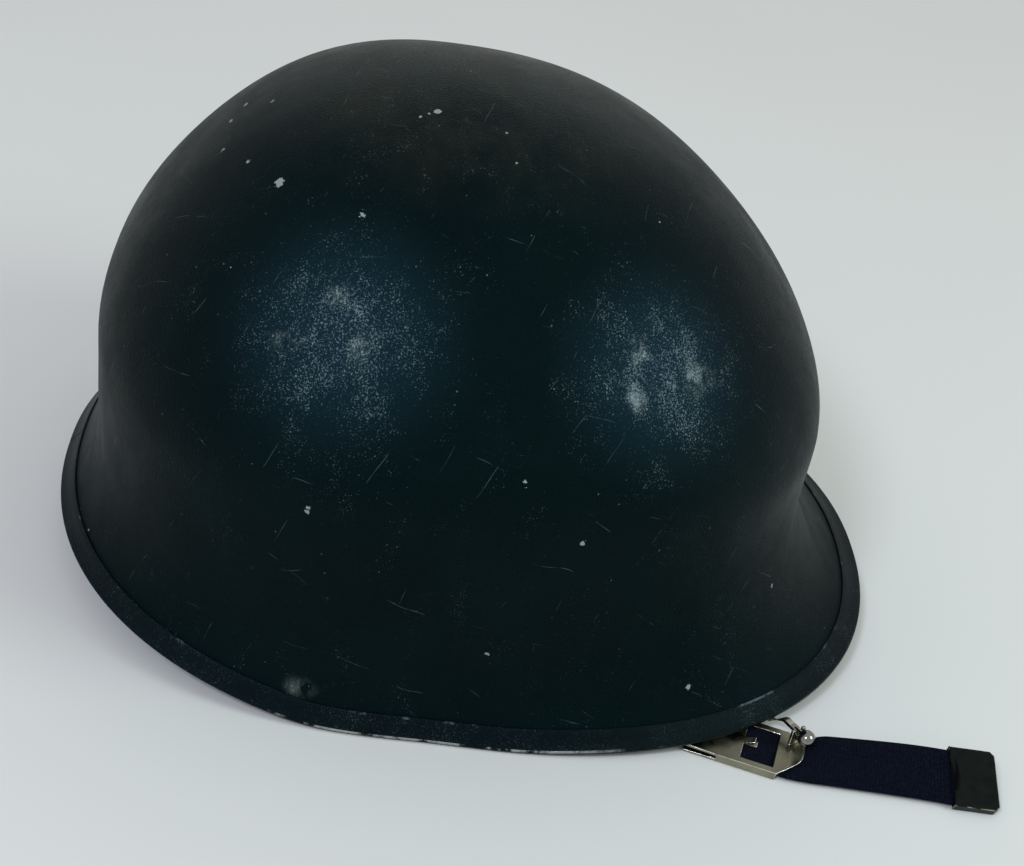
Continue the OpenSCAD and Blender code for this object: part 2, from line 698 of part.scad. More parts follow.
// Folded sheet tip on the end of the tail, drawn with x along the strap
module strap_tip() {
    beyond = 3;
    bevel = 1.5;
    scoop_r = 24;
    scoop_depth = 2.6;
    color("#26292c")
        translate([tail_end[0], tail_end[1], tail_end_z])
            rotate([0, 0, tip_heading])
                rotate([tail_roll, 0, 0])
                    translate([beyond - tip_len, 0, 0])
                        difference() {
                            translate([0, 0, -tip_half_h])
                                linear_extrude(height = 2 * tip_half_h)
                                    polygon([[0, -tip_half_w], [tip_len - bevel, -tip_half_w],
                                        [tip_len, -tip_half_w + bevel], [tip_len, tip_half_w - bevel],
                                        [tip_len - bevel, tip_half_w], [0, tip_half_w]]);
                            translate([-1, -strap_w / 2 - tip_fit, -strap_t / 2 - tip_fit])
                                cube([tip_len - beyond + 1 + tip_fit, strap_w + 2 * tip_fit,
                                    strap_t + 2 * tip_fit]);
                            translate([scoop_depth - scoop_r, 0, -tip_half_h - 1])
                                cylinder(h = 2 * tip_half_h + 2, r = scoop_r, $fn = 96);
                        }
}

// The liner's edge is notched where the outline runs nearly straight back, at the ears
notch_from = 0.87;
notch_ease = 0.1;
function notch_share(t) = smooth((abs(sin(t)) - notch_from) / notch_ease);
function liner_q0(t) =
    q_at(t, rim_z(t) + liner_edge + (liner_notch - liner_edge) * notch_share(t), 0);

// Places on the liner's inner face, at angle t and height z
function liner_q(t, z) = q_at(t, z, -liner_in);
function liner_at(t, z) = skin(t, liner_q(t, z), -liner_in);
function liner_yaw(t, z) = let (d = liner_at(t + 1.5, z) - liner_at(t - 1.5, z)) atan2(d[1], d[0]);

rivet_z = 62;
rivet_ts = [for (k = [0 : 5]) 30 + 60 * k];
shank_fit = 0.2;
// Upright webbing stands this far off the curved liner, and each flat layer on it that much further
wall_ease = 1.3;
flat_ease = 0.55;
stack_web = layer_gap + wall_ease;
stack_crown = stack_web + web_t + layer_gap + flat_ease;
stack_washer = stack_crown + web_t + layer_gap;
washer_t = 0.8;
// Outer rivet heads stand this far off the liner
head_ease = 0.15;
stack_head = stack_washer + washer_t + layer_gap + flat_ease;

// Moves a shape drawn with z pointing inwards from the liner's inner face to its place
module on_liner(t, z) {
    up = liner_at(t, z + 2);
    low = liner_at(t, z - 2);
    lean = atan2(norm([up[0], up[1]]) - norm([low[0], low[1]]), 4);
    translate(liner_at(t, z))
        rotate([0, 0, liner_yaw(t, z)])
            rotate([-90 + lean, 0, 0])
                children();
}

// A bore through the liner alone, for a shank of diameter d
module liner_hole(t, z, d) {
    on_liner(t, z)
        translate([0, 0, -liner_t - 3])
            cylinder(h = liner_t + 6, d = d + shank_fit);
}

module liner_holes() {
    for (t = rivet_ts) liner_hole(t, rivet_z, rivet_d);
    for (t = nape_ts) liner_hole(t, nape_z, rivet_d);
    for (t = stud_ts) liner_hole(t, stud_z, rivet_d);
    liner_hole(0, eyelet_z, eyelet_bore + 2 * eyelet_t);
}

nape_z = 41.5;
nape_w = 12;
nape_dip = 7;
nape_ease = 0.5;
nape_ts = [150, 180, 210];
stud_ts = [64, 296];
stud_z = 32;
eyelet_z = 98;
eyelet_t = 0.7;

// The gap to the shell closes towards the crown, where the liner seats
close_from = 2.3;
close_ease = 0.6;
function crown_close(q) = (liner_gap - crown_seat) * smooth((q - close_from) / close_ease);

module liner_shell() {
    color("#3b4238")
        difference() {
            dome_solid(liner_steps, function(t) liner_q0(t), 4, 12,
                function(q) crown_close(q) - liner_out, function(q) crown_close(q) - liner_in);
            liner_holes();
        }
}

// Outline of the head at the sweatband, an oval set forward of the ears, as a distance from the axis
head_forward = (wall_front - wall_rear) / 2;
function head_r(t) =
    let (
        k = pow(sin(t) / head_half_w, 2) + pow(cos(t) / head_half_l, 2),
        m = head_forward * cos(t) / pow(head_half_l, 2),
        c = pow(head_forward / head_half_l, 2) - 1
    )
    (m + sqrt(m * m - k * c)) / k;

function polar(r, t, z) = [r * sin(t), -r * cos(t), z];

function liner_r(t, z, gap) =
    let (p = liner_at(t, z))
    norm([p[0], p[1]]) - gap;

// The webbing ring touches the liner at the rivets and lies behind the sweatband between them
clip_t = 0.6;
clip_gap = 0.35;
sweat_out = sweatband_t + clip_t + 2 * clip_gap;
function ring_share(t) = smooth(0.675 * (1 + cos(6 * (t - rivet_ts[0]))) - 0.1);

function band_r(t) =
    let (near = liner_r(t, rivet_z, stack_web + web_t / 2), far = head_r(t) + sweat_out + web_t / 2)
    far + (near - far) * ring_share(t);

// A closed upright band: radius by angle, height of its lower edge, width and thickness
function band_rings(steps, r_of, z0, w, t) = [for (j = [0 : steps - 1])
    let (a = 360 * j / steps, r = r_of(a))
    [polar(r - t / 2, a, z0), polar(r - t / 2, a, z0 + w), polar(r + t / 2, a, z0 + w),
     polar(r + t / 2, a, z0)]];

module support_band() {
    color("#8c8468")
        difference() {
            sweep(band_rings(72, function(a) band_r(a), rivet_z - web_w / 2, web_w, web_t), true);
            suspension_shanks(rivet_d + shank_fit);
        }
}

module suspension_shanks(d) {
    for (t = rivet_ts)
        on_liner(t, rivet_z)
            translate([0, 0, -liner_t - 3])
                cylinder(h = liner_t + 12, d = d);
}

// One crown strap from a rivet over the head to the opposite rivet, passing the middle in layer k
module crown_strap(k) {
    t0 = rivet_ts[k];
    end_z = rivet_z - 10;
    upright_z = rivet_z + 8;
    top_z = crown_z - liner_in - crown_sag + k * (web_t + 3 * layer_gap);
    ends = [t0, t0 + 180];
    r_end = [for (t = ends) liner_r(t, rivet_z, stack_crown + web_t / 2)];
    turn = [for (t = ends) (liner_yaw(t, rivet_z) - t + 900) % 360 - 180];
    rings = [for (i = [-13 : 13])
        let (
            side = i < 0 ? 0 : 1,
            u = min(1, abs(i) / 12),
            a = 90 * u,
            r = r_end[side] * sin(a),
            z = abs(i) == 13 ? end_z : upright_z + (top_z - upright_z) * cos(a),
            t = ends[side],
            slope = atan2((top_z - upright_z) * sin(a), r_end[side] * cos(a) + eps)
        )
        [r * sin(t), -r * cos(t), z, t0 + 90 + turn[side] * smooth((u - 0.5) / 0.4),
         i < 0 ? slope : -slope, 0]];
    color("#8c8468")
        difference() {
            sweep([for (s = rings) ribbon_ring(s, crown_w, web_t)]);
            suspension_shanks(rivet_d + shank_fit);
        }
}

module crown_strap_1() {
    crown_strap(0);
}

module crown_strap_2() {
    crown_strap(1);
}

module crown_strap_3() {
    crown_strap(2);
}

// A-shaped washers that spread the pull of each rivet
module suspension_washers() {
    color("#4a4f4c")
        for (t = rivet_ts)
            difference() {
                translate(polar(liner_r(t, rivet_z, stack_washer), t, rivet_z))
                    rotate([0, 0, liner_yaw(t, rivet_z)])
                        rotate([-90, 0, 0])
                            linear_extrude(height = washer_t)
                                polygon([[-3.5, -5], [3.5, -5], [9.5, 9], [6, 9], [4.5, 4], [-4.5, 4],
                                    [-6, 9], [-9.5, 9]]);
                on_liner(t, rivet_z)
                    cylinder(h = 20, d = rivet_d + 2 * shank_fit);
            }
}

// A rivet from outside the liner, through to the given depth inside
module rivet(depth) {
    head_h = 1.2;
    head_z = -liner_t - head_ease;
    translate([0, 0, head_z - head_h])
        cylinder(h = head_h, d1 = rivet_head_d * 0.7, d2 = rivet_head_d);
    translate([0, 0, head_z - eps])
        cylinder(h = depth - head_z + 2 * eps, d = rivet_d);
    translate([0, 0, depth])
        cylinder(h = head_h, d1 = rivet_head_d, d2 = rivet_head_d * 0.7);
}

module suspension_rivets() {
    color("#55544a")
        for (t = rivet_ts)
            on_liner(t, rivet_z)
                rivet(stack_head);
}

// The nape strap hangs inside the liner's rear between three rivets
module nape_strap() {
    steps = 18;
    t0 = nape_ts[0] - 5;
    t1 = nape_ts[2] + 5;
    rings = [for (i = [0 : steps])
        let (
            t = t0 + (t1 - t0) * i / steps,
            off = stack_web + nape_dip * pow(sin(6 * (t - nape_ts[0])), 2),
            low = liner_r(t, nape_z - nape_w / 2, off),
            high = liner_r(t, nape_z + nape_w / 2, off)
        )
        [polar(low - web_t, t, nape_z - nape_w / 2), polar(high - web_t, t, nape_z + nape_w / 2),
         polar(high, t, nape_z + nape_w / 2), polar(low, t, nape_z - nape_w / 2)]];
    color("#8c8468")
        difference() {
            sweep(rings);
            for (t = nape_ts)
                on_liner(t, nape_z)
                    translate([0, 0, -1])
                        cylinder(h = 12, d = rivet_d + shank_fit);
        }
}

module nape_rivets() {
    color("#55544a")
        for (t = nape_ts)
            on_liner(t, nape_z)
                rivet(stack_web + web_t + nape_ease);
}

module sweatband() {
    color("#5a3d26")
        sweep(band_rings(72, function(a) head_r(a) + sweatband_t / 2, sweatband_z, sweatband_w,
            sweatband_t), true);
}

// Moves a shape drawn with x along the sweatband, y inwards and z up to its place at angle t
module on_head(t) {
    a = polar(head_r(t - 1), t - 1, 0);
    b = polar(head_r(t + 1), t + 1, 0);
    translate(polar(head_r(t), t, 0))
        rotate([0, 0, atan2(b[1] - a[1], b[0] - a[0])])
            children();
}

clip_ts = [0, 60, 120, 240, 300];
clip_w = 8;

// Spring clips: sewn behind the sweatband, hooked over the webbing ring
module sweatband_clips() {
    band_top = rivet_z + web_w / 2;
    near_y = -sweatband_t - clip_gap;
    far_y = -sweat_out - web_t - clip_gap;
    foot = 20;
    hook = 9;
    color("#6c6f6a")
        for (t = clip_ts)
            on_head(t)
                translate([-clip_w / 2, 0, 0]) {
                    translate([0, near_y - clip_t, band_top - foot])
                        cube([clip_w, clip_t, foot + clip_gap + clip_t]);
                    translate([0, far_y - clip_t, band_top + clip_gap])
                        cube([clip_w, near_y - far_y + clip_t, clip_t]);
                    translate([0, far_y - clip_t, band_top - hook])
                        cube([clip_w, clip_t, hook + clip_gap + clip_t]);
                }
}

// Flat frame behind the sweatband that holds its overlapping ends
module sweatband_buckle() {
    frame_w = 10;
    bar = 3;
    color("#6c6f6a")
        on_head(180)
            translate([-frame_w / 2, -sweatband_t - clip_gap - clip_t, sweatband_z - bar])
                difference() {
                    cube([frame_w, clip_t, sweatband_w + 2 * bar]);
                    translate([bar, -1, bar])
                        cube([frame_w - 2 * bar, clip_t + 2, sweatband_w]);
                }
}

// Round-headed studs inside the liner, for the liner's own strap
module liner_studs() {
    color("#55544a")
        for (t = stud_ts)
            on_liner(t, stud_z) {
                rivet(wall_ease / 2);
                translate([0, 0, wall_ease / 2])
                    cylinder(h = 3.2, d = rivet_d + 0.6);
                translate([0, 0, wall_ease / 2 + 3])
                    cylinder(h = 1.6, d1 = 6.4, d2 = 4.6);
            }
}

// Flanged tube through the liner's front
module front_eyelet() {
    tube_r = eyelet_bore / 2 + eyelet_t;
    flange_r = tube_r + 1.8;
    flange_t = 0.6;
    out_z = -liner_t - 0.1 - flange_t;
    in_z = wall_ease / 2;
    color("#55544a")
        on_liner(0, eyelet_z)
            rotate_extrude()
                polygon([[eyelet_bore / 2, out_z], [flange_r, out_z], [flange_r, out_z + flange_t],
                    [tube_r, out_z + flange_t], [tube_r, in_z], [flange_r, in_z],
                    [flange_r, in_z + flange_t], [eyelet_bore / 2, in_z + flange_t]]);
}

steel_shell();
rim_edging();
loop_bracket_left();
loop_bracket_right();
strap_bail_left();
strap_bail_right();
buckle_strap();
hook_strap();
strap_buckle();
ball_hook();
strap_tip();
liner_shell();
support_band();
crown_strap_1();
crown_strap_2();
crown_strap_3();
suspension_washers();
suspension_rivets();
nape_strap();
nape_rivets();
sweatband();
sweatband_clips();
sweatband_buckle();
liner_studs();
front_eyelet();
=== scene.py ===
import math
import bpy
import bmesh
import numpy as np
from mathutils import Matrix, Vector


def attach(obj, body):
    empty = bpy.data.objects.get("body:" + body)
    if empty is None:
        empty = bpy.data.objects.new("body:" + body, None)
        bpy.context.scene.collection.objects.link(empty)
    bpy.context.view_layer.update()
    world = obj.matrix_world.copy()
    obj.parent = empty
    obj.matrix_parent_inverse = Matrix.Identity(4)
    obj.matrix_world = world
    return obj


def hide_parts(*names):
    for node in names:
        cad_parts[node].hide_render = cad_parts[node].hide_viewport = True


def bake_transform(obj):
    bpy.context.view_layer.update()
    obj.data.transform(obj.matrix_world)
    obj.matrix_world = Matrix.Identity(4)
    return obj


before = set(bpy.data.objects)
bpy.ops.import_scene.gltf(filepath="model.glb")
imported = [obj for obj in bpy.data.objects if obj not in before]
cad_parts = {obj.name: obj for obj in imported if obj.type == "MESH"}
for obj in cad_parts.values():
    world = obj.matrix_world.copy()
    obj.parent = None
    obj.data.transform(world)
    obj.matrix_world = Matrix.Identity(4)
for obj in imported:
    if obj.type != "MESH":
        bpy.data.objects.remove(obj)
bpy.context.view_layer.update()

MM = 0.001


# The view: from the wearer's right and well above, 60 cm away, so that the near brim shows clearly
# larger than the far one, and rolled a little, as a hand-held picture is.
def seen_from(turn, height):
    """A step of one towards a turn and a height in degrees; turn 0 is the front, 90 the left ear."""
    turn, height = math.radians(turn), math.radians(height)
    return Vector((math.sin(turn) * math.cos(height), -math.cos(turn) * math.cos(height), math.sin(height)))


azimuth, elevation, roll = 262.79, 32.746, math.radians(10.656)
aim, distance = Vector((-21.263, -25.228, 57.892)) * MM, 603.67 * MM
back = seen_from(azimuth, elevation)
level = Vector((math.cos(math.radians(azimuth)), math.sin(math.radians(azimuth)), 0))
rise = back.cross(level)
side = level * math.cos(roll) + rise * math.sin(roll)
top = rise * math.cos(roll) - level * math.sin(roll)
camera = bpy.data.objects.new("camera", bpy.data.cameras.new("camera"))
camera.data.lens = 61.052
camera.data.sensor_width = 36
camera.data.clip_start = 0.05
turned = Matrix((side, top, back)).transposed().to_4x4()
camera.matrix_world = Matrix.Translation(aim + back * distance) @ turned
bpy.context.scene.collection.objects.link(camera)
bpy.context.scene.camera = camera
bpy.context.scene.view_settings.view_transform = "Standard"


# The table: one sheet of seamless paper, pale and uncoated, so that it shows no shine, with the
# faintest drift of tone.
def linear(code):
    """The linear colour of an sRGB hex code, with full alpha."""
    parts = [int(code[i:i + 2], 16) / 255 for i in (1, 3, 5)]
    return [c / 12.92 if c <= 0.04045 else ((c + 0.055) / 1.055) ** 2.4 for c in parts] + [1]


def live(value):
    """A node's first output in use. Anything else comes back as it is."""
    return next(s for s in value.outputs if s.enabled) if isinstance(value, bpy.types.Node) else value


def add(tree, kind, inputs=(), **settings):
    """Adds one node with its settings; a kind in capitals is an operation of the Math node. Inputs go by
    name, or by place among those in use: a node, a socket or a value."""
    if kind.isupper():
        kind, settings["operation"] = "ShaderNodeMath", kind
    node = tree.nodes.new(kind)
    for name, value in settings.items():
        setattr(node, name, value)
    named = isinstance(inputs, dict)
    sockets = node.inputs if named else [s for s in node.inputs if s.enabled]
    for key, value in inputs.items() if named else enumerate(inputs):
        value = live(value)
        if isinstance(value, bpy.types.NodeSocket):
            tree.links.new(value, sockets[key])
        elif value is not None:
            sockets[key].default_value = value
    return node


def finish_of(name, **sockets):
    """A new finish with the shader's own sockets set. Returns it with its tree and the coordinates that
    its patterns read."""
    material = bpy.data.materials.new(name)
    material.use_nodes = True
    for socket, value in sockets.items():
        material.node_tree.nodes["Principled BSDF"].inputs[socket.replace("_", " ")].default_value = value
    return material, material.node_tree, add(material.node_tree, "ShaderNodeTexCoord").outputs


def give(material, relief=None, **sockets):
    """Links nodes to a finish's shader. A relief is its height, its strength and its depth in metres."""
    tree = material.node_tree
    if relief:
        relief = dict(zip(("Height", "Strength", "Distance"), relief))
        sockets["Normal"] = add(tree, "ShaderNodeBump", relief)
    for socket, value in sockets.items():
        tree.links.new(live(value), tree.nodes["Principled BSDF"].inputs[socket.replace("_", " ")])


def mottled(name, dark, light, scale, detail, rough=0.5, span=None, relief=None, **sockets):
    """A finish of two colours shared out by noise, or by a span of it for harder edges, and its relief's
    strength and depth. Returns it with the noise and the light colour's share."""
    material, tree, read = finish_of(name, **sockets)
    noise = add(tree, "ShaderNodeTexNoise", {"Vector": read["Object"], "Scale": scale, "Detail": detail,
                                             "Roughness": rough})
    share = add(tree, "ShaderNodeMapRange", [noise, *span]) if span else noise
    tone = add(tree, "ShaderNodeMix", [share, linear(dark), linear(light)], data_type="RGBA")
    give(material, (noise, *relief) if relief else None, Base_Color=tone)
    return material, noise, share


paper = mottled("seamless_paper", "#dfdcd8", "#e4e2df", 3, 2, Roughness=0.9, Specular_IOR_Level=0.2)[0]
bpy.ops.mesh.primitive_plane_add(size=16, location=(0, 0, -0.05 * MM))
floor = bpy.context.object
floor.name = "floor"
floor.data.materials.append(paper)

# The light: two windows on the camera's side, whose reflections lie on the two scuffed places of
# the dome that also carry a painted highlight, a pale wall behind it that grazes the crown, and an
# even pale sky.
lamp_distance, lamp_aim = 1.6, Vector((0, 0, 0.1))
for name, turn, height, power, size, hue in (("window_rear", -122, 45, 10, 0.34, "#dfecff"),
                                             ("window_front", -21, 36, 8.5, 0.8, "#e0f8f3"),
                                             ("wall_far", 88, 13, 2.6, 1.5, "#f4f8f0")):
    way = seen_from(turn, height)
    lamp = bpy.data.objects.new(name, bpy.data.lights.new(name, "AREA"))
    lamp.data.shape = "DISK"
    lamp.data.size = size
    lamp.data.energy = power
    lamp.data.color = linear(hue)[:3]
    lamp.visible_camera = False
    turned = way.to_track_quat("Z", "Y").to_matrix().to_4x4()
    lamp.matrix_world = Matrix.Translation(way * lamp_distance + lamp_aim) @ turned
    bpy.context.scene.collection.objects.link(lamp)
world = bpy.data.worlds.new("even_sky")
world.use_nodes = True
world.node_tree.nodes["Background"].inputs["Color"].default_value = linear("#f2f5f7")
world.node_tree.nodes["Background"].inputs["Strength"].default_value = 0.58
bpy.context.scene.world = world


# The shell: one blank of 1.1 mm manganese steel drawn deep in a press, with a visor at the front,
# a short apron at the nape and hardly any brim at the ears. Its shape follows one rule: a squarish
# oval wall, a flare that widens to front and rear, and a dome that leans back a little.
def geometry_tree(name, **inputs):
    """A geometry tree and its inputs' sockets. An input is its default value, or the name of its kind."""
    tree = bpy.data.node_groups.new(name, "GeometryNodeTree")
    for key, value in inputs.items():
        kind = {int: "Int", float: "Float"}.get(type(value), value)
        socket = tree.interface.new_socket(key.replace("_", " "), in_out="INPUT",
                                           socket_type=f"NodeSocket{kind}")
        if kind != value:
            socket.default_value = value
    tree.interface.new_socket("Geometry", in_out="OUTPUT", socket_type="NodeSocketGeometry")
    return tree, add(tree, "NodeGroupInput").outputs


sheet, crown_lean, wall_draft, dome_pinch = 1.1 * MM, 8 * MM, 1.5 * MM, 0.075
turns, rows = 193, 96
# The shares of the rows at which the flare ends and the dome starts, then how the brim's reach swells
# and the rim's rise sets in from the ears, then the flare's fading height and the turn of its curve
flare_end, dome_start = 0.45, 0.5
swell_power, level_share, ease_share = 1.85, 0.2, 0.2
flare_fade, round_share, least_bend, added_bend = 0.35, 0.5, math.radians(78), math.radians(12)
shape, given = geometry_tree(
    "helmet_shell", Half_Width=115 * MM, Wall_Front=130 * MM, Wall_Rear=118 * MM, Squareness=2.35,
    Visor_Reach=36 * MM, Ear_Reach=4.5 * MM, Nape_Reach=12.5 * MM, Visor_Rise=8 * MM, Nape_Rise=17 * MM,
    Rim_Lift=1.2188 * MM, Flare_Height=52 * MM, Dome_Foot=80.2188 * MM, Dome_Height=98.5 * MM,
    Crown_Lean=crown_lean, Turns=turns, Rows=rows, Finish="Material")
sheet_grid = add(shape, "GeometryNodeMeshGrid", {"Size X": 1, "Size Y": 1, "Vertices X": given["Turns"],
                                                 "Vertices Y": given["Rows"]})
spot = add(shape, "ShaderNodeSeparateXYZ", [add(shape, "GeometryNodeInputPosition")])
turn = add(shape, "MULTIPLY_ADD", [spot.outputs[0], 2 * math.pi, math.pi])
up = add(shape, "ADD", [spot.outputs[1], 0.5])
sine = add(shape, "SINE", [turn])
cosine = add(shape, "COSINE", [turn])
# The wall's outline: a superellipse with a longer half in front
ahead = add(shape, "GREATER_THAN", [cosine, 0])
half_length = add(shape, "ShaderNodeMix", [ahead, given["Wall Rear"], given["Wall Front"]])
across = add(shape, "DIVIDE", [add(shape, "ABSOLUTE", [sine]), given["Half Width"]])
along = add(shape, "DIVIDE", [add(shape, "ABSOLUTE", [cosine]), half_length])
oval = add(shape, "ADD", [add(shape, "POWER", [across, given["Squareness"]]),
                          add(shape, "POWER", [along, given["Squareness"]])])
root = add(shape, "DIVIDE", [-1, given["Squareness"]])
outline = add(shape, "POWER", [oval, root])
# The brim's reach and the rim's rise, each least at the ears and full at the front and the rear
reach, rim = given["Ear Reach"], given["Rim Lift"]
for sign, full, lift in ((1, "Visor Reach", "Visor Rise"), (-1, "Nape Reach", "Nape Rise")):
    facing = add(shape, "MAXIMUM", [add(shape, "MULTIPLY", [cosine, sign]), 0])
    swell = add(shape, "POWER", [facing, swell_power])
    more = add(shape, "SUBTRACT", [given[full], given["Ear Reach"]])
    reach = add(shape, "MULTIPLY_ADD", [swell, more, reach])
    past = add(shape, "SUBTRACT", [add(shape, "MAXIMUM", [facing, level_share]), level_share])
    past = add(shape, "DIVIDE", [past, 1 - level_share])
    start = add(shape, "MINIMUM", [past, ease_share])
    soft = add(shape, "MULTIPLY", [add(shape, "MULTIPLY", [start, start]), 0.5 / ease_share])
    rest = add(shape, "SUBTRACT", [past, start])
    ramp = add(shape, "DIVIDE", [add(shape, "ADD", [soft, rest]), 1 - ease_share / 2])
    rim = add(shape, "MULTIPLY_ADD", [ramp, given[lift], rim])
# The flare: lower and steeper where the brim is narrow
share = add(shape, "DIVIDE", [reach, given["Visor Reach"]])
flare = add(shape, "MULTIPLY", [add(shape, "POWER", [share, flare_fade]), given["Flare Height"]])
end = add(shape, "MULTIPLY_ADD", [share, added_bend, least_bend])
down = add(shape, "SUBTRACT", [1, add(shape, "DIVIDE", [up, flare_end], use_clamp=True)])
bent = []
for angle in (add(shape, "MULTIPLY", [end, down]), end):
    drop = add(shape, "SINE", [angle])
    curl = add(shape, "MULTIPLY_ADD", [add(shape, "COSINE", [angle]), -round_share, round_share])
    square = add(shape, "MULTIPLY", [drop, drop])
    bent.append((drop, add(shape, "MULTIPLY_ADD", [square, 1 - round_share, curl])))
fall = add(shape, "DIVIDE", [bent[0][0], bent[1][0]])
out = add(shape, "MULTIPLY", [add(shape, "DIVIDE", [bent[0][1], bent[1][1]]), reach])
flare_top = add(shape, "ADD", [rim, flare])
flare_z = add(shape, "MULTIPLY_ADD", [fall, add(shape, "MULTIPLY", [flare, -1]), flare_top])
wall = add(shape, "DIVIDE", [add(shape, "SUBTRACT", [up, flare_end]), dome_start - flare_end],
           use_clamp=True)
to_foot = add(shape, "SUBTRACT", [given["Dome Foot"], flare_top])
wall_z = add(shape, "MULTIPLY_ADD", [wall, to_foot, flare_z])
draft = add(shape, "DIVIDE", [add(shape, "SUBTRACT", [given["Dome Foot"], wall_z]),
                              add(shape, "SUBTRACT", [given["Dome Foot"], rim])])
# The dome: an elliptical arch, drawn in a little halfway up
arch = add(shape, "DIVIDE", [add(shape, "SUBTRACT", [up, dome_start]), 1 - dome_start], use_clamp=True)
arch = add(shape, "MULTIPLY", [arch, math.pi / 2])
arch_sine = add(shape, "SINE", [arch])
arch_cosine = add(shape, "COSINE", [arch])
pinch = add(shape, "MULTIPLY", [arch_sine, arch_cosine])
pinch = add(shape, "MULTIPLY_ADD", [add(shape, "MULTIPLY", [pinch, pinch]), -4 * dome_pinch, 1])
radius = add(shape, "MULTIPLY_ADD", [add(shape, "MULTIPLY", [outline, arch_cosine]), pinch, out])
radius = add(shape, "MULTIPLY_ADD", [draft, -wall_draft, radius])
height = add(shape, "MULTIPLY_ADD", [arch_sine, given["Dome Height"], wall_z])
lean = add(shape, "MULTIPLY", [arch_sine, given["Crown Lean"]])
depth = add(shape, "MULTIPLY_ADD", [add(shape, "MULTIPLY", [radius, -1]), cosine, lean])
point = add(shape, "ShaderNodeCombineXYZ", [add(shape, "MULTIPLY", [radius, sine]), depth, height])
drawn = add(shape, "GeometryNodeSetPosition", {"Geometry": sheet_grid, "Position": point})
drawn = add(shape, "GeometryNodeRealizeInstances", [add(shape, "GeometryNodeSetShadeSmooth", [drawn])])
drawn = add(shape, "GeometryNodeSetMaterial", {"Geometry": drawn, "Material": given["Finish"]})
add(shape, "NodeGroupOutput", [drawn])


def made_by(tree, name, source=None, **sizes):
    """A plain mesh from a geometry tree, its inputs set before the first evaluation."""
    carrier = bpy.data.objects.new(name, source or bpy.data.meshes.new(name))
    bpy.context.scene.collection.objects.link(carrier)
    modifier = carrier.modifiers.new("tree", "NODES")
    modifier.node_group = tree
    for item in tree.interface.items_tree:
        key = item.name.replace(" ", "_")
        if item.in_out == "INPUT" and key in sizes:
            modifier[item.identifier] = sizes[key]
    mesh = bpy.data.meshes.new_from_object(carrier.evaluated_get(bpy.context.evaluated_depsgraph_get()))
    carrier.modifiers.clear()
    carrier.data = mesh
    return carrier


# Service enamel: a dull blue-black sprayed over coarse primer, which leaves a fine gritty tooth that
# breaks up its reflections. Dusty and brown at the crown, scuffed pale at two places on the wearer's
# right, where a broad blue painted highlight with pale painted sparkle also lies, and chipped down to
# primer here and there.
enamel, tree, read = finish_of(
    "service_enamel", Roughness=0.34, Specular_IOR_Level=0.045, Sheen_Weight=0.004, Sheen_Roughness=0.3,
    Sheen_Tint=linear("#94a698"), Specular_Tint=linear("#a9dfe6"))
place = read["Object"]
cloud = add(tree, "ShaderNodeTexNoise", {"Vector": place, "Scale": 16, "Detail": 5, "Roughness": 0.6})
tone = add(tree, "ShaderNodeMix", [cloud, linear("#010507"), linear("#08191a")], data_type="RGBA")
height_up = add(tree, "ShaderNodeSeparateXYZ", [place]).outputs[2]
# Map Range takes a value, the two ends of the range it comes from and of the one it is brought to
crown = add(tree, "ShaderNodeMapRange", [height_up, 158 * MM, 179 * MM, 0, 0.7])
rub = add(tree, "ShaderNodeTexNoise", {"Vector": place, "Scale": 48, "Detail": 6, "Roughness": 0.65})
smears = add(tree, "ShaderNodeMapRange", [rub, 0.38, 0.66])
dusty = add(tree, "MULTIPLY", [crown, smears])
# Scuffs and painted sparkle: grit of 0.5 mm in upright clumps of 10 mm, round the two places on
# the wearer's right that carry the painted highlight
grit = add(tree, "ShaderNodeTexNoise", {"Vector": place, "Scale": 1900, "Detail": 2, "Roughness": 0.6})
upright = add(tree, "ShaderNodeVectorMath", [place, (1, 1, 0.45)], operation="MULTIPLY")
clumps = add(tree, "ShaderNodeTexNoise", {"Vector": upright, "Scale": 95, "Detail": 5, "Roughness": 0.75})
clumps = add(tree, "ShaderNodeMapRange", [clumps, 0.43, 0.66])


def near_any(tree, place, spots, core):
    """How near the surface is to any of some spots: 1 in its core, 0 at its span. A spot is given by x,
    y, z and span in millimetres, and by how many times taller than wide it is."""
    nearest = None
    for x, y, z, span, tall in spots:
        off = add(tree, "ShaderNodeVectorMath", [place, (x * MM, y * MM, z * MM)], operation="SUBTRACT")
        off = add(tree, "ShaderNodeVectorMath", [off, (1, 1, 1 / tall)], operation="MULTIPLY")
        off = add(tree, "ShaderNodeVectorMath", [off], operation="LENGTH")
        near = add(tree, "ShaderNodeMapRange", [off, span * MM, core * MM], interpolation_type="SMOOTHSTEP")
        nearest = near if nearest is None else add(tree, "MAXIMUM", [nearest, near])
    return nearest


# The two places where the windows' reflections fall: their dulled paint is also a broad blue painted
# highlight
rubbed = near_any(tree, place, ((-90, 38, 129, 46, 1), (-84, -58, 127, 42, 1)), 2)
dulled_and_highlight = add(tree, "MULTIPLY", [rubbed, 0.5])
# Harder rubs within them and on the brim, some of them upright smears, down to the grey primer, laid
# where highlights fall on the dome and in the brim's hollow, so that they are also painted glints
bared_and_highlit = near_any(tree, place, ((-93, 32.7, 127.7, 5, 2.6), (-83, 40, 138, 5, 1.3), (-88.5, 52.5, 126, 7, 1),
                               (-82.5, -51.5, 131.7, 6, 1.3), (-80.5, -70, 123.5, 8, 1),
                               (-92.6, -51, 120.6, 5, 1.6), (-112.1, 37.3, 12.8, 7, 0.7)), 0)
primer_and_glint = add(tree, "MULTIPLY", [bared_and_highlit, clumps])
spread = add(tree, "MULTIPLY_ADD", [rubbed, 0.2, add(tree, "MULTIPLY_ADD", [clumps, 0.13, grit])])
spread = add(tree, "MULTIPLY_ADD", [primer_and_glint, 0.2, add(tree, "MULTIPLY_ADD", [dusty, 0.14, spread])])
scuff_and_sparkle = add(tree, "ShaderNodeMapRange", [spread, 0.745, 1.06, 0, 0.95])
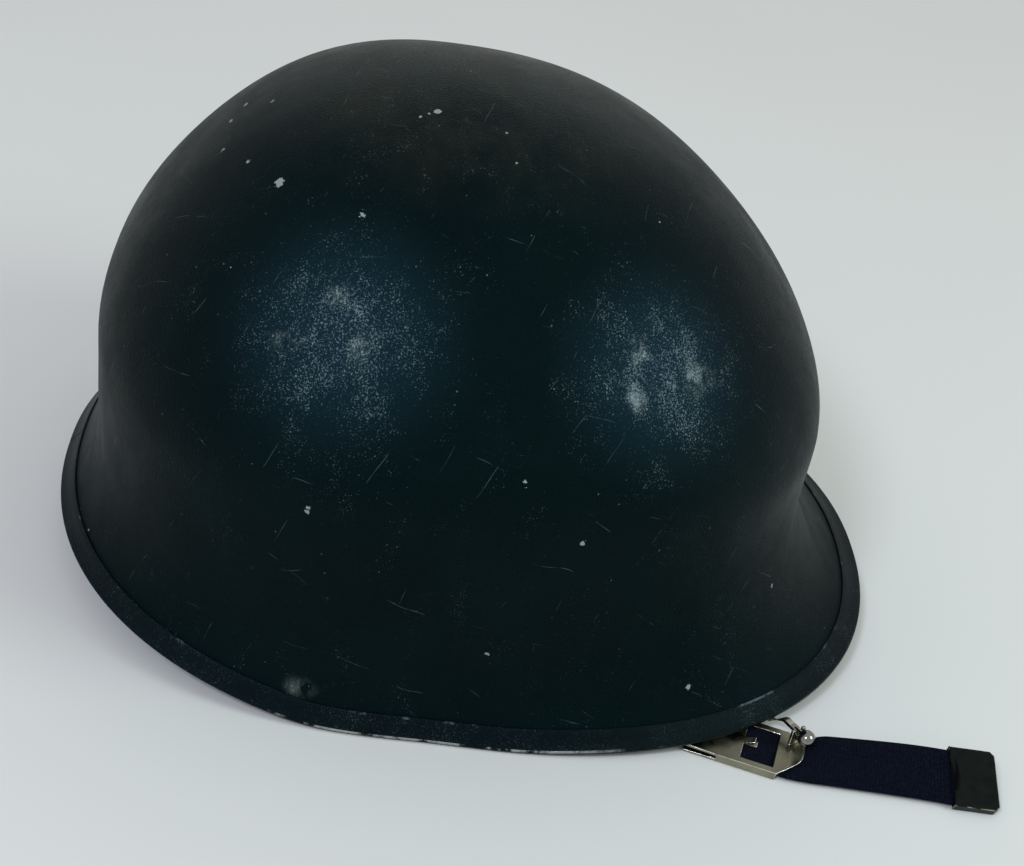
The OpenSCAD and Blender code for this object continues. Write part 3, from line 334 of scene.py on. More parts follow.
# Scratches: hair lines 0.16 mm wide in three directions, each broken to lengths of about 10 mm
wander = add(tree, "ShaderNodeTexNoise", {"Vector": place, "Scale": 24, "Detail": 2})
scratch = None
for way, apart, few in (((0.2, 0.9, 0.4), 7, 0.63), ((-0.3, 0.5, -0.8), 9, 0.64),
                        ((0.6, -0.2, 0.75), 11, 0.62)):
    across = add(tree, "ShaderNodeVectorMath", [place, way], operation="DOT_PRODUCT")
    across = add(tree, "MULTIPLY_ADD", [wander, apart * 1.5 * MM, across])
    hair = add(tree, "LESS_THAN", [add(tree, "PINGPONG", [across, apart * MM]), 0.08 * MM])
    shifted = add(tree, "ShaderNodeVectorMath", [place, way], operation="ADD")
    broken = add(tree, "ShaderNodeTexNoise", {"Vector": shifted, "Scale": 75, "Detail": 3, "Roughness": 0.6})
    broken = add(tree, "ShaderNodeMapRange", [broken, few - 0.05, few + 0.05, 0, 0.42])
    hair = add(tree, "MULTIPLY", [hair, broken])
    scratch = hair if scratch is None else add(tree, "MAXIMUM", [scratch, hair])
# Chips: a few of 0.9 mm, more of 0.5 mm, and the larger ones that stand out on the right side
chips = None
for cells, radius, few, depth in ((90, 0.04, 0.9, 0.8), (260, 0.07, 0.84, 0.35)):
    cell = add(tree, "ShaderNodeTexVoronoi", {"Vector": place, "Scale": cells})
    dot = add(tree, "LESS_THAN", [cell.outputs["Distance"], radius])
    pick = add(tree, "GREATER_THAN", [add(tree, "ShaderNodeSeparateXYZ", [cell.outputs["Color"]]), few])
    dot = add(tree, "MULTIPLY", [dot, add(tree, "MULTIPLY", [pick, depth])])
    chips = dot if chips is None else add(tree, "MAXIMUM", [chips, dot])
ragged = add(tree, "ShaderNodeTexNoise", {"Vector": place, "Scale": 800, "Detail": 3, "Roughness": 0.7})
ragged = add(tree, "MULTIPLY_ADD", [ragged, 3 * MM, -1.5 * MM])
for x, y, z, span in ((-49.5, 61.1, 155, 1.5), (-110.8, 41.3, 81.5, 0.9), (-110.9, 41.3, 80.3, 0.7),
                      (-113.7, -18.4, 35.8, 0.6), (-99.9, -87.4, 19.1, 0.9), (-66, -116.2, 38.2, 0.6),
                      (-64.9, 35.6, 155.4, 0.8), (-36, 71.6, 154, 0.6), (2.9, 76.5, 155.6, 0.9),
                      (-6.8, 67.6, 162.3, 0.7), (-21.5, 80.7, 150.2, 0.6), (-3.6, 80.4, 152.2, 0.8),
                      (-28.1, 16.4, 175.5, 1.2), (-29.8, 19, 174.9, 0.5), (-31.5, 21.6, 174.2, 0.4),
                      (-110.7, -20.4, 99.5, 0.6), (-110.8, -20.5, 97.8, 0.5), (-111.7, -40.6, 80.5, 0.7)):
    off = add(tree, "ShaderNodeVectorMath", [place, (x * MM, y * MM, z * MM)], operation="DISTANCE")
    near = add(tree, "LESS_THAN", [add(tree, "ADD", [off, ragged]), span * MM])
    chips = add(tree, "MAXIMUM", [chips, near])
# Over the tone go the crown's dust, the blue painted highlight with the dulled paint, the grey rubs that are
# also painted glints, the pale scuffs with painted sparkle, scratches and chips
for share, code in ((dusty, "#2a2b25"), (dulled_and_highlight, "#1b3442"), (primer_and_glint, "#5a625e"), (scuff_and_sparkle, "#879a9e"),
                    (scratch, "#5f7273"), (chips, "#8d968e")):
    tone = add(tree, "ShaderNodeMix", [share, tone, linear(code)], data_type="RGBA")
gloss = add(tree, "ShaderNodeMapRange", [rub, 0.3, 0.7, 0.3, 0.46])
relief = add(tree, "MULTIPLY_ADD", [chips, -0.6, grit])
give(enamel, (relief, 1, 0.00035), Base_Color=tone, Roughness=gloss)
shell = made_by(shape, "steel_shell_sheet", Finish=enamel)
grid = np.empty(len(shell.data.vertices) * 3, np.float32)
shell.data.vertices.foreach_get("co", grid)
grid = grid.reshape(turns, rows, 3).astype(float)
joined = bmesh.new()
joined.from_mesh(shell.data)
bmesh.ops.remove_doubles(joined, verts=joined.verts, dist=1e-6)
joined.to_mesh(shell.data)
joined.free()
thickness = shell.modifiers.new("sheet", "SOLIDIFY")
thickness.thickness, thickness.offset = sheet, -1
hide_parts("steel_shell")
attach(shell, "shell")


# The rim edging: a half-millimetre strip of stainless steel folded round the raw edge from outside
# to inside, spot welded, with its two ends meeting at the nape. It is painted with the shell, and
# the paint is rubbed off along the fold where the helmet stands on the ground.
columns = np.radians(np.linspace(0, 360, turns))
outward = np.stack([np.sin(columns), -np.cos(columns), 0 * columns], -1)
flare_rows = int(rows * flare_end) - 1
profile = np.stack([(grid[:, :flare_rows] * outward[:, None]).sum(-1), grid[:, :flare_rows, 2]], -1)
climb = np.linalg.norm(np.diff(profile, axis=1), axis=-1).cumsum(1)
climb = np.concatenate([np.zeros((turns, 1)), climb], 1)


def beside_sheet(up_by, out_by, past=0.0):
    """Points beside the sheet all round the rim: up its face, off it, and past its edge."""
    at = [[np.interp(up_by + step, climb[i], profile[i, :, k]) for i in range(turns) for k in (0, 1)]
          for step in (0, 0.25 * MM)]
    low, high = np.array(at).reshape(2, turns, 2)
    rising = (high - low) / np.linalg.norm(high - low, axis=1)[:, None]
    off = np.stack([rising[:, 1], -rising[:, 0]], 1)
    flat = low + off * out_by - rising * past
    return outward * flat[:, :1] + np.array([0, 0, 1]) * flat[:, 1:]


def loft(name, rings, finish, u=None, v=None, closed=False, ends=True):
    """A closed skin through rings of points, with a UV map of u along it and v round each ring.
    Its first and last rings are closed by a face, or meet in a pole where they are points."""
    rings = np.asarray(rings, float)
    n, m = rings.shape[:2]
    u = np.arange(n + 1) if u is None else u
    v = np.arange(m + 1) if v is None else v
    mesh = bpy.data.meshes.new(name)
    quads, places = [], []
    for i in range(n if closed else n - 1):
        for j in range(m):
            near, far, side = i * m, (i + 1) % n * m, (j + 1) % m
            quads.append((near + j, near + side, far + side, far + j))
            places += [(u[i], v[j]), (u[i], v[j + 1]), (u[i + 1], v[j + 1]), (u[i + 1], v[j])]
    if ends and not closed:
        for ring in (0, n - 1):
            quads.append(tuple(ring * m + j for j in range(m)))
            places += [(u[ring], v[j]) for j in range(m)]
    mesh.from_pydata(rings.reshape(-1, 3), [], quads)
    mesh.uv_layers.new(name="UVMap").data.foreach_set("uv", np.array(places, float).ravel())
    skin = bmesh.new()
    skin.from_mesh(mesh)
    bmesh.ops.remove_doubles(skin, verts=skin.verts, dist=1e-7)
    bmesh.ops.recalc_face_normals(skin, faces=skin.faces)
    skin.to_mesh(mesh)
    skin.free()
    mesh.shade_smooth()
    mesh.set_sharp_from_angle(angle=math.radians(50))
    mesh.materials.append(finish)
    piece = bpy.data.objects.new(name, mesh)
    bpy.context.scene.collection.objects.link(piece)
    return piece


def settle(piece, body, slot, *nodes):
    """Sets a finished piece on its body, if it has one, and hides the CAD nodes that it stands for.
    Its finish's slot is not used.
    """
    if nodes:
        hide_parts(*nodes)
    if body:
        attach(piece, body)


edging_paint, tree, read = finish_of(
    "edging_enamel", Roughness=0.34, Specular_IOR_Level=0.08, Specular_Tint=linear("#c8dfe2"))
place = read["Object"]
cloud = add(tree, "ShaderNodeTexNoise", {"Vector": place, "Scale": 30, "Detail": 4})
tone = add(tree, "ShaderNodeMix", [cloud, linear("#02070a"), linear("#07161a")], data_type="RGBA")
# Bare steel where the fold has been rubbed: v runs across the strip, 0 at its outer edge
strip = add(tree, "ShaderNodeSeparateXYZ", [read["UV"]])
fold = add(tree, "COMPARE", [strip.outputs[1], 7.8 * MM, 0.45 * MM])
low = add(tree, "ShaderNodeSeparateXYZ", [place]).outputs[2]
low = add(tree, "ShaderNodeMapRange", [low, 5 * MM, 2 * MM])
rub = add(tree, "ShaderNodeTexNoise", {"Vector": place, "Scale": 60, "Detail": 6, "Roughness": 0.7})
rubbed = add(tree, "ShaderNodeMapRange", [rub, 0.47, 0.56])
bare = add(tree, "MULTIPLY", [add(tree, "MULTIPLY", [fold, low]), rubbed])
# Grit as on the shell, and paint knocked thin along the strip's upper edge
grit = add(tree, "ShaderNodeTexNoise", {"Vector": place, "Scale": 1900, "Detail": 2, "Roughness": 0.6})
upper = add(tree, "COMPARE", [strip.outputs[1], 0.6 * MM, 0.5 * MM])
nicks = add(tree, "ShaderNodeMapRange", [rub, 0.56, 0.64, 0, 0.5])
dust = add(tree, "ShaderNodeMapRange", [add(tree, "MULTIPLY_ADD", [rub, 0.5, grit]), 0.84, 1.0, 0, 0.2])
thin = add(tree, "MAXIMUM", [add(tree, "MULTIPLY", [upper, nicks]), dust])
tone = add(tree, "ShaderNodeMix", [thin, tone, linear("#6f7f80")], data_type="RGBA")
steel = add(tree, "ShaderNodeMix", [bare, tone, linear("#a9aba6")], data_type="RGBA")
give(edging_paint, (grit, 0.9, 0.0003), Base_Color=steel, Metallic=bare)

# The strip's section: how far up the sheet, how far off its outer face and how far past its edge
strip_thick, near, cover, tuck, edge_round = 0.5 * MM, 0.12 * MM, 7.5, 5, 0.15
far = near + strip_thick
inner = -sheet - far
section = [(cover, near, 0), (cover, far - edge_round * MM, 0), (cover - 0.2, far, 0)]
section += [(up_by, far, 0) for up_by in (5, 2.5, 0.5)]
for a in range(0, 181, 30):
    a = math.radians(a)
    section.append((0, (far + inner) / 2 + (far - inner) / 2 * math.cos(a), far * math.sin(a)))
section += [(up_by, inner, 0) for up_by in (0.5, 2.5, tuck - edge_round)]
section += [(tuck, inner + edge_round * MM, 0), (tuck, -sheet - near, 0), (0, -sheet - near, near / 2),
            (0, -sheet / 2, near), (0, near, near / 2)]
rings = np.stack([beside_sheet(s * MM, off, past) for s, off, past in section], 1)
middle = turns // 2
rings = np.concatenate([rings[middle:], rings[1:middle + 1]])
# The joint at the nape: each end is drawn back by half of its width
joint, nape_radius = 0.6, 130.5
drawn_back = joint / 2 / (2 * math.pi * nape_radius / (turns - 1))
rings[0] += (rings[1] - rings[0]) * drawn_back
rings[-1] += (rings[-2] - rings[-1]) * drawn_back
ear_ring = rings[turns // 4]
v = np.concatenate([[0], np.linalg.norm(np.diff(ear_ring, axis=0, append=ear_ring[:1]), axis=1).cumsum()])
edging = loft("rim_edging_strip", rings, edging_paint, u=np.arange(len(rings)) / turns, v=v)
settle(edging, "shell", "shell_paint", "rim_edging")


# The strap loops: a closed rectangle of 2.2 mm wire at each ear, swinging in a strap of sheet that is
# folded over it and welded inside the wall. Painted with the shell and rubbed by the webbing.
def cad_look(node, finish):
    """Gives a CAD node that stays as it is its finish."""
    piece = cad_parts[node]
    piece.data.materials.clear()
    piece.data.materials.append(finish)


loop_steel, _, bare = mottled("painted_loop_steel", "#12191c", "#7d7c76", 180, 5, 0.7, (0.54, 0.66),
                              (0.3, 0.0002), Roughness=0.45, Specular_IOR_Level=0.3)
give(loop_steel, Metallic=bare)
for hand in ("left", "right"):
    cad_look(f"loop_bracket_{hand}", loop_steel)
    cad_look(f"strap_bail_{hand}", loop_steel)


# The chinstrap: 20 mm navy cotton webbing, about 1 mm thick, in two lengths. The buckle's length is
# sewn round the right loop, folded forward on the bias and drawn through the buckle to its free tail;
# the hook's length runs in one curve across to the left loop.
loop_x, loop_z, wrap, flat_z, upper_z = 111.08, 2.5, 1.85, 0.65, 1.95


def station(x, y, z, heading, pitch=0, roll=0, half=10.0):
    """Middle, half width and upper side of the webbing at one place, in millimetres and degrees."""
    h, p, r = (math.radians(a) for a in (heading, pitch, roll))
    upper = np.array([-math.cos(h) * math.sin(p), -math.sin(h) * math.sin(p), math.cos(p)])
    sideways = np.array([-math.sin(h), math.cos(h), 0])
    return np.array([[x, y, z], half * (sideways * math.cos(r) + upper * math.sin(r)),
                     upper * math.cos(r) - sideways * math.sin(r)])


def webbing(name, stations, finish, thick=1.0, closed=False):
    """Webbing through its stations, with rounded selvedges; u is the length and v the width in metres."""
    stations = np.array(stations)
    half, b = np.linalg.norm(stations[0, 1]), thick / 2
    outline = []
    for s in (1, -1):
        for a in np.radians((0, 35, 65, 90, 115, 145, 180)):
            outline.append((s * (half - b + b * math.sin(a)) / half, s * b * math.cos(a)))
        outline += [(s * x, -s * b) for x in (0.5, 0, -0.5)]
    rings = np.array([[c + w * x + n * y for x, y in outline] for c, w, n in stations]) * MM
    steps = np.linalg.norm(np.diff(stations[:, 0], axis=0), axis=1)
    u = np.concatenate([[0], steps.cumsum(), [steps.sum() + steps.mean()]]) * MM
    v = np.array([x for x, y in outline] + [outline[0][0]]) * half * MM
    return loft(name, rings, finish, u=u, v=v, closed=closed)


def eased(u):
    """Runs from 0 to 1 with level ends."""
    u = min(1, max(0, u))
    return u * u * (3 - 2 * u)


def curve(points, u):
    """Place and heading on a cubic curve led by four guide points, in plan."""
    p = np.array(points, float)
    place = p[0] * (1 - u) ** 3 + p[1] * 3 * u * (1 - u) ** 2 + p[2] * 3 * u * u * (1 - u) + p[3] * u ** 3
    way = (p[1] - p[0]) * (1 - u) ** 2 + (p[2] - p[1]) * 2 * u * (1 - u) + (p[3] - p[2]) * u * u
    return place, math.degrees(math.atan2(way[1], way[0]))


def towards(heading):
    """A step of one along a heading in degrees, in plan."""
    return np.array([math.cos(math.radians(heading)), math.sin(math.radians(heading))])


cotton, tree, read = finish_of("navy_cotton_webbing", Roughness=0.9, Specular_IOR_Level=0.05,
                               Sheen_Weight=0.02, Sheen_Roughness=0.6)
weave = add(tree, "ShaderNodeSeparateXYZ", [read["UV"]])
# Ribs 1.1 mm apart across the strap, broken by warp ends 1 mm apart along it, and lint
rib = add(tree, "SINE", [add(tree, "MULTIPLY", [weave.outputs[0], 2 * math.pi / (1.1 * MM)])])
warp = add(tree, "SINE", [add(tree, "MULTIPLY", [weave.outputs[1], 2 * math.pi / (1 * MM)])])
crossed = add(tree, "MULTIPLY", [rib, warp])
knit = add(tree, "MULTIPLY_ADD", [crossed, 0.9, add(tree, "MULTIPLY", [rib, 0.35])])
lint = add(tree, "ShaderNodeTexNoise",
           {"Vector": read["Object"], "Scale": 1300, "Detail": 3, "Roughness": 0.75})
cloth = add(tree, "MULTIPLY_ADD", [knit, 0.13, lint])
shade = add(tree, "ShaderNodeMapRange", [cloth, 0.42, 0.82])
tone = add(tree, "ShaderNodeMix", [shade, linear("#010106"), linear("#111b33")], data_type="RGBA")
give(cotton, (cloth, 0.7, 0.0003), Base_Color=tone)

# The buckle's length: round the right loop, then folded on the bias to lead forward
fold_x, fold_r, end_x = 23 - loop_x, 0.65, 12 - loop_x
right_end = [station(x, 0, z, 180, p) for x, z, p in
             ((end_x, upper_z, 0), (9 - loop_x, upper_z, 0), (6.08 - loop_x, upper_z + 0.4, 10),
              (3.5 - loop_x, loop_z + wrap * 0.8, 22))]
for p in range(0, 181, 15):
    a = math.radians(p)
    right_end.append(station(-loop_x - wrap * math.sin(a), 0, loop_z + wrap * math.cos(a), 180, -p))
right_end.append(station(end_x, 0, flat_z, 180, -180))
for a in np.radians(range(0, 181, 15)):
    out = math.sqrt(0.5) * math.sin(a)
    crease = [fold_x + fold_r * out, fold_r * out, flat_z + fold_r * (1 - math.cos(a))]
    right_end.append(np.array([crease, [10, -10, 0], [out, out, -math.cos(a)]]))
buckle_at, buckle_turn, buckle_z = np.array([-104.5, -108]), 252, 1.57
forward = towards(buckle_turn)
run_start, run_end = np.array([fold_x, -12]), buckle_at + forward * -19
run_guide = [run_start, run_start - [0, 30], run_end - forward * 28, run_end]
run = []
for i in range(41):
    (x, y), way = curve(run_guide, i / 40)
    z = flat_z + (upper_z - flat_z) * (1 - eased(i / 8.8))
    z += (buckle_z - flat_z) * eased((i / 40 - 0.8) / 0.2)
    run.append(station(x, y, z, way))
right_end.append(run[0])
run += [station(*(buckle_at + forward * x), buckle_z, buckle_turn) for x in (-17, -9, -2)]
tip_turn, tail_roll, tail_z = 267, 18, 4.85
tip_way = towards(tip_turn)
tail_end, tip_depth = np.array([-115.5, -189.5]), 13
tail_in = tail_end - tip_way * tip_depth
tail_start = buckle_at + forward * 16
tail_guide = [tail_start, tail_start + forward * 5, tail_in + towards(82) * 20, tail_in]
tail = [station(*(buckle_at + forward * x), buckle_z, buckle_turn) for x in (-2, 3, 8, 14)]
# The tail rises and rolls quickly at first, then evenly on to its tip
for i in range(37):
    (x, y), way = curve(tail_guide, i / 36)
    share = 0.45 * eased((i / 36 - 0.17) / 0.22) + 0.55 * eased((i / 36 - 0.17) / 0.83)
    tail.append(station(x, y, buckle_z + (tail_z - buckle_z) * share, way, 0, tail_roll * share))
tail += [station(*(tail_end - tip_way * x), tail_z, tip_turn, 0, tail_roll) for x in (6, 0)]
right_loop = webbing("webbing_right_loop", right_end, cotton)
settle(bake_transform(right_loop), None, "navy_webbing", "buckle_strap")
strap_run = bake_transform(webbing("webbing_right_run", run, cotton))
settle(strap_run, None, "navy_webbing", "buckle_strap")
strap_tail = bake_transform(webbing("webbing_tail", tail, cotton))
settle(strap_tail, None, "navy_webbing", "buckle_strap")

# The hook's length, in three pieces: turned back round the hook's bar, across below the liner, which is
# its stations from first to last, and round the left loop
hook_turn = 33
hook_way = towards(hook_turn)
ball_at = buckle_at + forward * 20.6 + towards(buckle_turn + 90) * 4.5
bar_at, bar_z, bar_r = ball_at + hook_way * 36.5, 2.45, 1.8
hook_end = [station(*(bar_at + hook_way * a), z, hook_turn + 180, p)
            for a, z, p in ((12, upper_z, 0), (9, upper_z, 0), (6, 2.6, 9), (3.2, bar_z + bar_r * 0.85, 18))]
for p in range(0, 181, 15):
    a = math.radians(p)
    x, y = bar_at - hook_way * bar_r * math.sin(a)
    hook_end.append(station(x, y, bar_z + bar_r * math.cos(a), hook_turn + 180, -p))
cross_guide = [bar_at, bar_at + hook_way * 62, np.array([loop_x - 75, 0]), np.array([loop_x, 0])]
cross = []
for i in range(1, 64):
    (x, y), way = curve(cross_guide, i / 64)
    cross.append(station(x, y, flat_z, way + 180, -180))
left_end = []
for p in range(-180, -361, -15):
    a = math.radians(-p - 180)
    left_end.append(station(loop_x + wrap * math.sin(a), 0, loop_z - wrap * math.cos(a), 180, p))
left_end += [station(loop_x - x, 0, z, 180, p) for x, z, p in
             ((3.5, loop_z + wrap * 0.8, -338), (6, upper_z + 0.4, -350), (9, upper_z, -360),
              (12, upper_z, -360))]
first, last = 15, 51
hook_loop = webbing("webbing_hook_loop", hook_end + cross[:first + 1], cotton)
settle(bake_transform(hook_loop), None, "navy_webbing", "hook_strap")
cross_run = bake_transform(webbing("webbing_cross_run", cross[first:last + 1], cotton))
settle(cross_run, None, "navy_webbing", "hook_strap")
left_loop = webbing("webbing_left_loop", cross[last:61] + left_end, cotton)
settle(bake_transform(left_loop), None, "navy_webbing", "hook_strap")

# The turned-back ends are sewn down by two rows of navy thread across the width, seen from below
row, given = geometry_tree("stitch_row", Geometry="Geometry", Pitch=4 * MM, Length=2.8 * MM,
                           Thread=0.6 * MM, Finish="Material")
path = add(row, "GeometryNodeMeshToCurve", [given["Geometry"]])
path = add(row, "GeometryNodeResampleCurve", {"Curve": path, "Length": given["Pitch"]}, mode="LENGTH")
along = add(row, "GeometryNodeInputTangent")
turned = add(row, "FunctionNodeAlignRotationToVector", {"Vector": along}, axis="X")
bead = add(row, "GeometryNodeMeshUVSphere", {"Segments": 6, "Rings": 4, "Radius": 0.5})
size = add(row, "ShaderNodeCombineXYZ", [given["Length"], given["Thread"], given["Thread"]])
beads = add(row, "GeometryNodeInstanceOnPoints",
            {"Points": path, "Instance": bead, "Rotation": turned, "Scale": size})
beads = add(row, "GeometryNodeSetShadeSmooth", [add(row, "GeometryNodeRealizeInstances", [beads])])
beads = add(row, "GeometryNodeSetMaterial", {"Geometry": beads, "Material": given["Finish"]})
add(row, "NodeGroupOutput", [beads])


def sewn(name, lines, finish, **sizes):
    """Rows of stitches as one mesh, along lines of points given in millimetres."""
    path = bpy.data.meshes.new(name)
    points, joints = [], []
    for line in lines:
        joints += [(len(points) + i, len(points) + i + 1) for i in range(len(line) - 1)]
        points += [tuple(np.array(point) * MM) for point in line]
    path.from_pydata(points, joints, [])
    return made_by(row, name, source=path, Finish=finish, **sizes)


navy_thread = mottled("navy_thread", "#0a0f1f", "#2a3450", 1500, 2, Roughness=0.7, Specular_IOR_Level=0.2)[0]
small = {"Pitch": 2.6 * MM, "Length": 1.8 * MM, "Thread": 0.4 * MM}
row_half, row_z = 8.5, 0.2
right_rows = [[(x, y, row_z) for y in (-row_half, row_half)] for x in (-100.3, -104.3)]
left_rows = [[(x, y, row_z) for y in (-row_half, row_half)] for x in (100.3, 104.3)]
hook_side = towards(hook_turn + 90)
hook_rows = [[(*(bar_at + hook_way * a + hook_side * b), row_z) for b in (-row_half, row_half)]
             for a in (6.5, 10.5)]
right_stitches = sewn("stitches_right_loop", right_rows, navy_thread, **small)
settle(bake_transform(right_stitches), None, "navy_webbing")
left_stitches = sewn("stitches_left_loop", left_rows, navy_thread, **small)
settle(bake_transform(left_stitches), None, "navy_webbing")
hook_stitches = sewn("stitches_hook_loop", hook_rows, navy_thread, **small)
settle(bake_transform(hook_stitches), None, "navy_webbing")


# The buckle: nickel-plated sheet folded to a sleeve round the webbing, its rear edge lifted to press
# it open, a prong in the window and a raised tongue with the fork that holds the ball's neck.
def pressed(node, name, finish, edge, rubbed=None):
    """A copy of a CAD solid with its triangles merged, its edges broken as tumbling leaves them, and
    the broken edges in their own finish if there is one: rubbed, and painted lighter as a highlight."""
    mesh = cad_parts[node].data.copy()
    mesh.name = name
    clean = bmesh.new()
    clean.from_mesh(mesh)
    bmesh.ops.remove_doubles(clean, verts=clean.verts, dist=2e-6)
    bmesh.ops.dissolve_limit(clean, angle_limit=math.radians(1), verts=clean.verts, edges=clean.edges)
    clean.to_mesh(mesh)
    clean.free()
    mesh.shade_smooth()
    mesh.set_sharp_from_angle(angle=math.radians(35))
    mesh.materials.clear()
    mesh.materials.append(finish)
    piece = bpy.data.objects.new(name, mesh)
    bpy.context.scene.collection.objects.link(piece)
    broken = piece.modifiers.new("broken_edges", "BEVEL")
    broken.width, broken.segments, broken.limit_method = edge, 2, "ANGLE"
    broken.angle_limit = math.radians(35)
    broken.use_clamp_overlap = False
    if rubbed:
        mesh.materials.append(rubbed)
        broken.material = 1
    return piece


plating, haze, _ = mottled("worn_nickel_plate", "#6a6754", "#b0ac97", 120, 5, 0.55, None, (0.2, 0.0002),
                           Metallic=1.0, Roughness=0.3)
give(plating, Roughness=add(plating.node_tree, "ShaderNodeMapRange", [haze, 0.35, 0.7, 0.2, 0.5]))
# On its edges the plating is rubbed bright, with a few dark nicks, and painted lighter as a highlight
rubbed_and_highlit_edge = mottled("rubbed_nickel_edge", "#5a574a", "#e6e3d8", 420, 4, 0.7, (0.34, 0.52),
                      Metallic=1.0, Roughness=0.22)[0]
buckle = pressed("strap_buckle", "buckle_sleeve", plating, 0.15 * MM, rubbed_and_highlit_edge)
settle(buckle, "chinstrap", "nickel", "strap_buckle")

# The ball hook: a turned ball on a neck, brazed to a flat arm that dips under the rim and widens to a
# slotted plate for the webbing. Bright nickel, darkened in its pores.
polished = mottled("polished_nickel", "#4c4a48", "#c2beb8", 700, 4, 0.7, None, (0.3, 0.0001),
                   Metallic=1.0, Roughness=0.15)[0]
hook = pressed("ball_hook", "ball_hook_forging", polished, 0.07 * MM)
settle(hook, "hook", "nickel", "ball_hook")

# The strap tip: blackened brass sheet folded over the webbing's end and pressed flat, its inner edge
# scooped and its outer corners nipped.
gunmetal = mottled("blackened_brass", "#0d1111", "#272c2a", 240, 5, 0.65, None, (0.15, 0.0002),
                   Metallic=0.9, Roughness=0.26)[0]
# On its edges the blackening is rubbed off to brass, and painted lighter as a highlight too
edge_wear_and_highlight = mottled("rubbed_brass_edge", "#232726", "#a8a799", 300, 4, 0.7, (0.42, 0.6),
                    Metallic=0.9, Roughness=0.3)[0]
tip = pressed("strap_tip", "strap_tip_fold", gunmetal, 0.24 * MM, edge_wear_and_highlight)
settle(tip, "strap_end", "tip_metal", "strap_tip")

# The liner: a second helmet of cotton duck laminated with resin, pressed to the shell's form and
# painted olive brown. It nests in the shell, all but touches it at the crown and can be pulled out; its
# edge is notched above the ears for the strap loops.
ups = np.arange(rows) / (rows - 1)
arches = np.clip((ups - dome_start) / (1 - dome_start), 0, 1) * math.pi / 2
walls = np.clip((ups - flare_end) / (dome_start - flare_end), 0, 1)
stages = np.clip(ups / flare_end, 0, 1) + walls + arches / (math.pi / 2)
leans = crown_lean * np.sin(arches)
radii = ((grid - np.stack([0 * leans, leans, 0 * leans], -1)) * outward[:, None]).sum(-1)
heights = grid[:, :, 2]
rising = np.stack([np.gradient(radii, axis=1), np.gradient(heights, axis=1)])
rising /= np.linalg.norm(rising, axis=0)


def inside_shell(depth):
    """The shell's outer face moved inwards, as radius and height at every turn and row."""
    return radii - rising[1] * depth, heights + rising[0] * depth


# The liner's two faces, by their depth below the shell's outer one, close up to it near the crown
outer_depth, inner_depth, closes_by = 4.1 * MM, 6.3 * MM, 2.7 * MM
closing = np.array([closes_by * eased((q - 2.3) / 0.6) for q in stages])
liner_far, liner_near = outer_depth - closing, inner_depth - closing
# Its edge stands above the rim, and higher at the ears
edge_rise, notch_rise, steps = 12, 11, 60
notch = np.array([eased((abs(math.sin(t)) - 0.87) / 0.1) for t in columns])
edge_z = grid[:, 0, 2] + (edge_rise + notch_rise * notch) * MM
edge_row = np.array([np.interp(edge_z[i], heights[i], np.arange(rows)) for i in range(turns)])
rings = []
for (radius, height), order in ((inside_shell(liner_near), -1), (inside_shell(liner_far), 1)):
    for k in list(range(steps + 1))[::order]:
        at = edge_row + (rows - 1 - edge_row) * k / steps
        r, z, y = (np.array([np.interp(at[i], np.arange(rows), values[i]) for i in range(turns - 1)])
                   for values in (radius, height, np.broadcast_to(leans, radius.shape)))
        ring = outward[:-1] * r[:, None] * (k < steps)
        ring[:, 1] += y
        ring[:, 2] = z if k < steps else z.mean()
        rings.append(ring)
duck = mottled("resin_bonded_duck", "#2f3426", "#4a4c36", 35, 5, Roughness=0.55, Specular_IOR_Level=0.35)[0]
tree = duck.node_tree
place = add(tree, "ShaderNodeTexCoord").outputs["Object"]
give(duck, (add(tree, "ShaderNodeTexNoise", {"Vector": place, "Scale": 700, "Detail": 2}), 0.4, 0.0003))
liner = loft("liner_bowl", rings, duck, ends=False)
settle(liner, "liner", "liner_fibre", "liner_shell")

# The suspension: 25 mm herringbone webbing riveted to the liner at six places, three straps that cross
# over the head, and a short strap at the nape. Cotton of a dull olive, darkened by use.
liner_r_mm, liner_z_mm = (values / MM for values in inside_shell(inner_depth))


def wall_r(t, z, gap=0.0):
    """Distance of the liner's inner wall from the axis, in millimetres, less a gap."""
    column = (t % 360) / 360 * (turns - 1)
    i, w = int(column), column % 1
    ends = [np.interp(z, liner_z_mm[k], liner_r_mm[k]) for k in (i, (i + 1) % turns)]
    return ends[0] * (1 - w) + ends[1] * w - gap


def spot_at(r, t, z):
    """A point at a distance from the axis, in the direction t, 0 at the visor."""
    return np.array([r * math.sin(math.radians(t)), -r * math.cos(math.radians(t)), z])


def wall_yaw(t, z):
    """Heading of the liner's inner wall."""
    way = spot_at(wall_r(t + 1.5, z), t + 1.5, z) - spot_at(wall_r(t - 1.5, z), t - 1.5, z)
    return math.degrees(math.atan2(way[1], way[0]))


def head_r(t):
    """Distance of the head's oval from the axis."""
    s, c, half_w, half_l, ahead = math.sin(math.radians(t)), math.cos(math.radians(t)), 78, 98, 6
    k, m = (s / half_w) ** 2 + (c / half_l) ** 2, ahead * c / half_l ** 2
    return (m + math.sqrt(m * m - k * ((ahead / half_l) ** 2 - 1))) / k


herringbone, tree, read = finish_of("herringbone_webbing", Roughness=0.9, Specular_IOR_Level=0.15,
                                    Sheen_Weight=0.2)
weave = add(tree, "ShaderNodeSeparateXYZ", [read["UV"]])
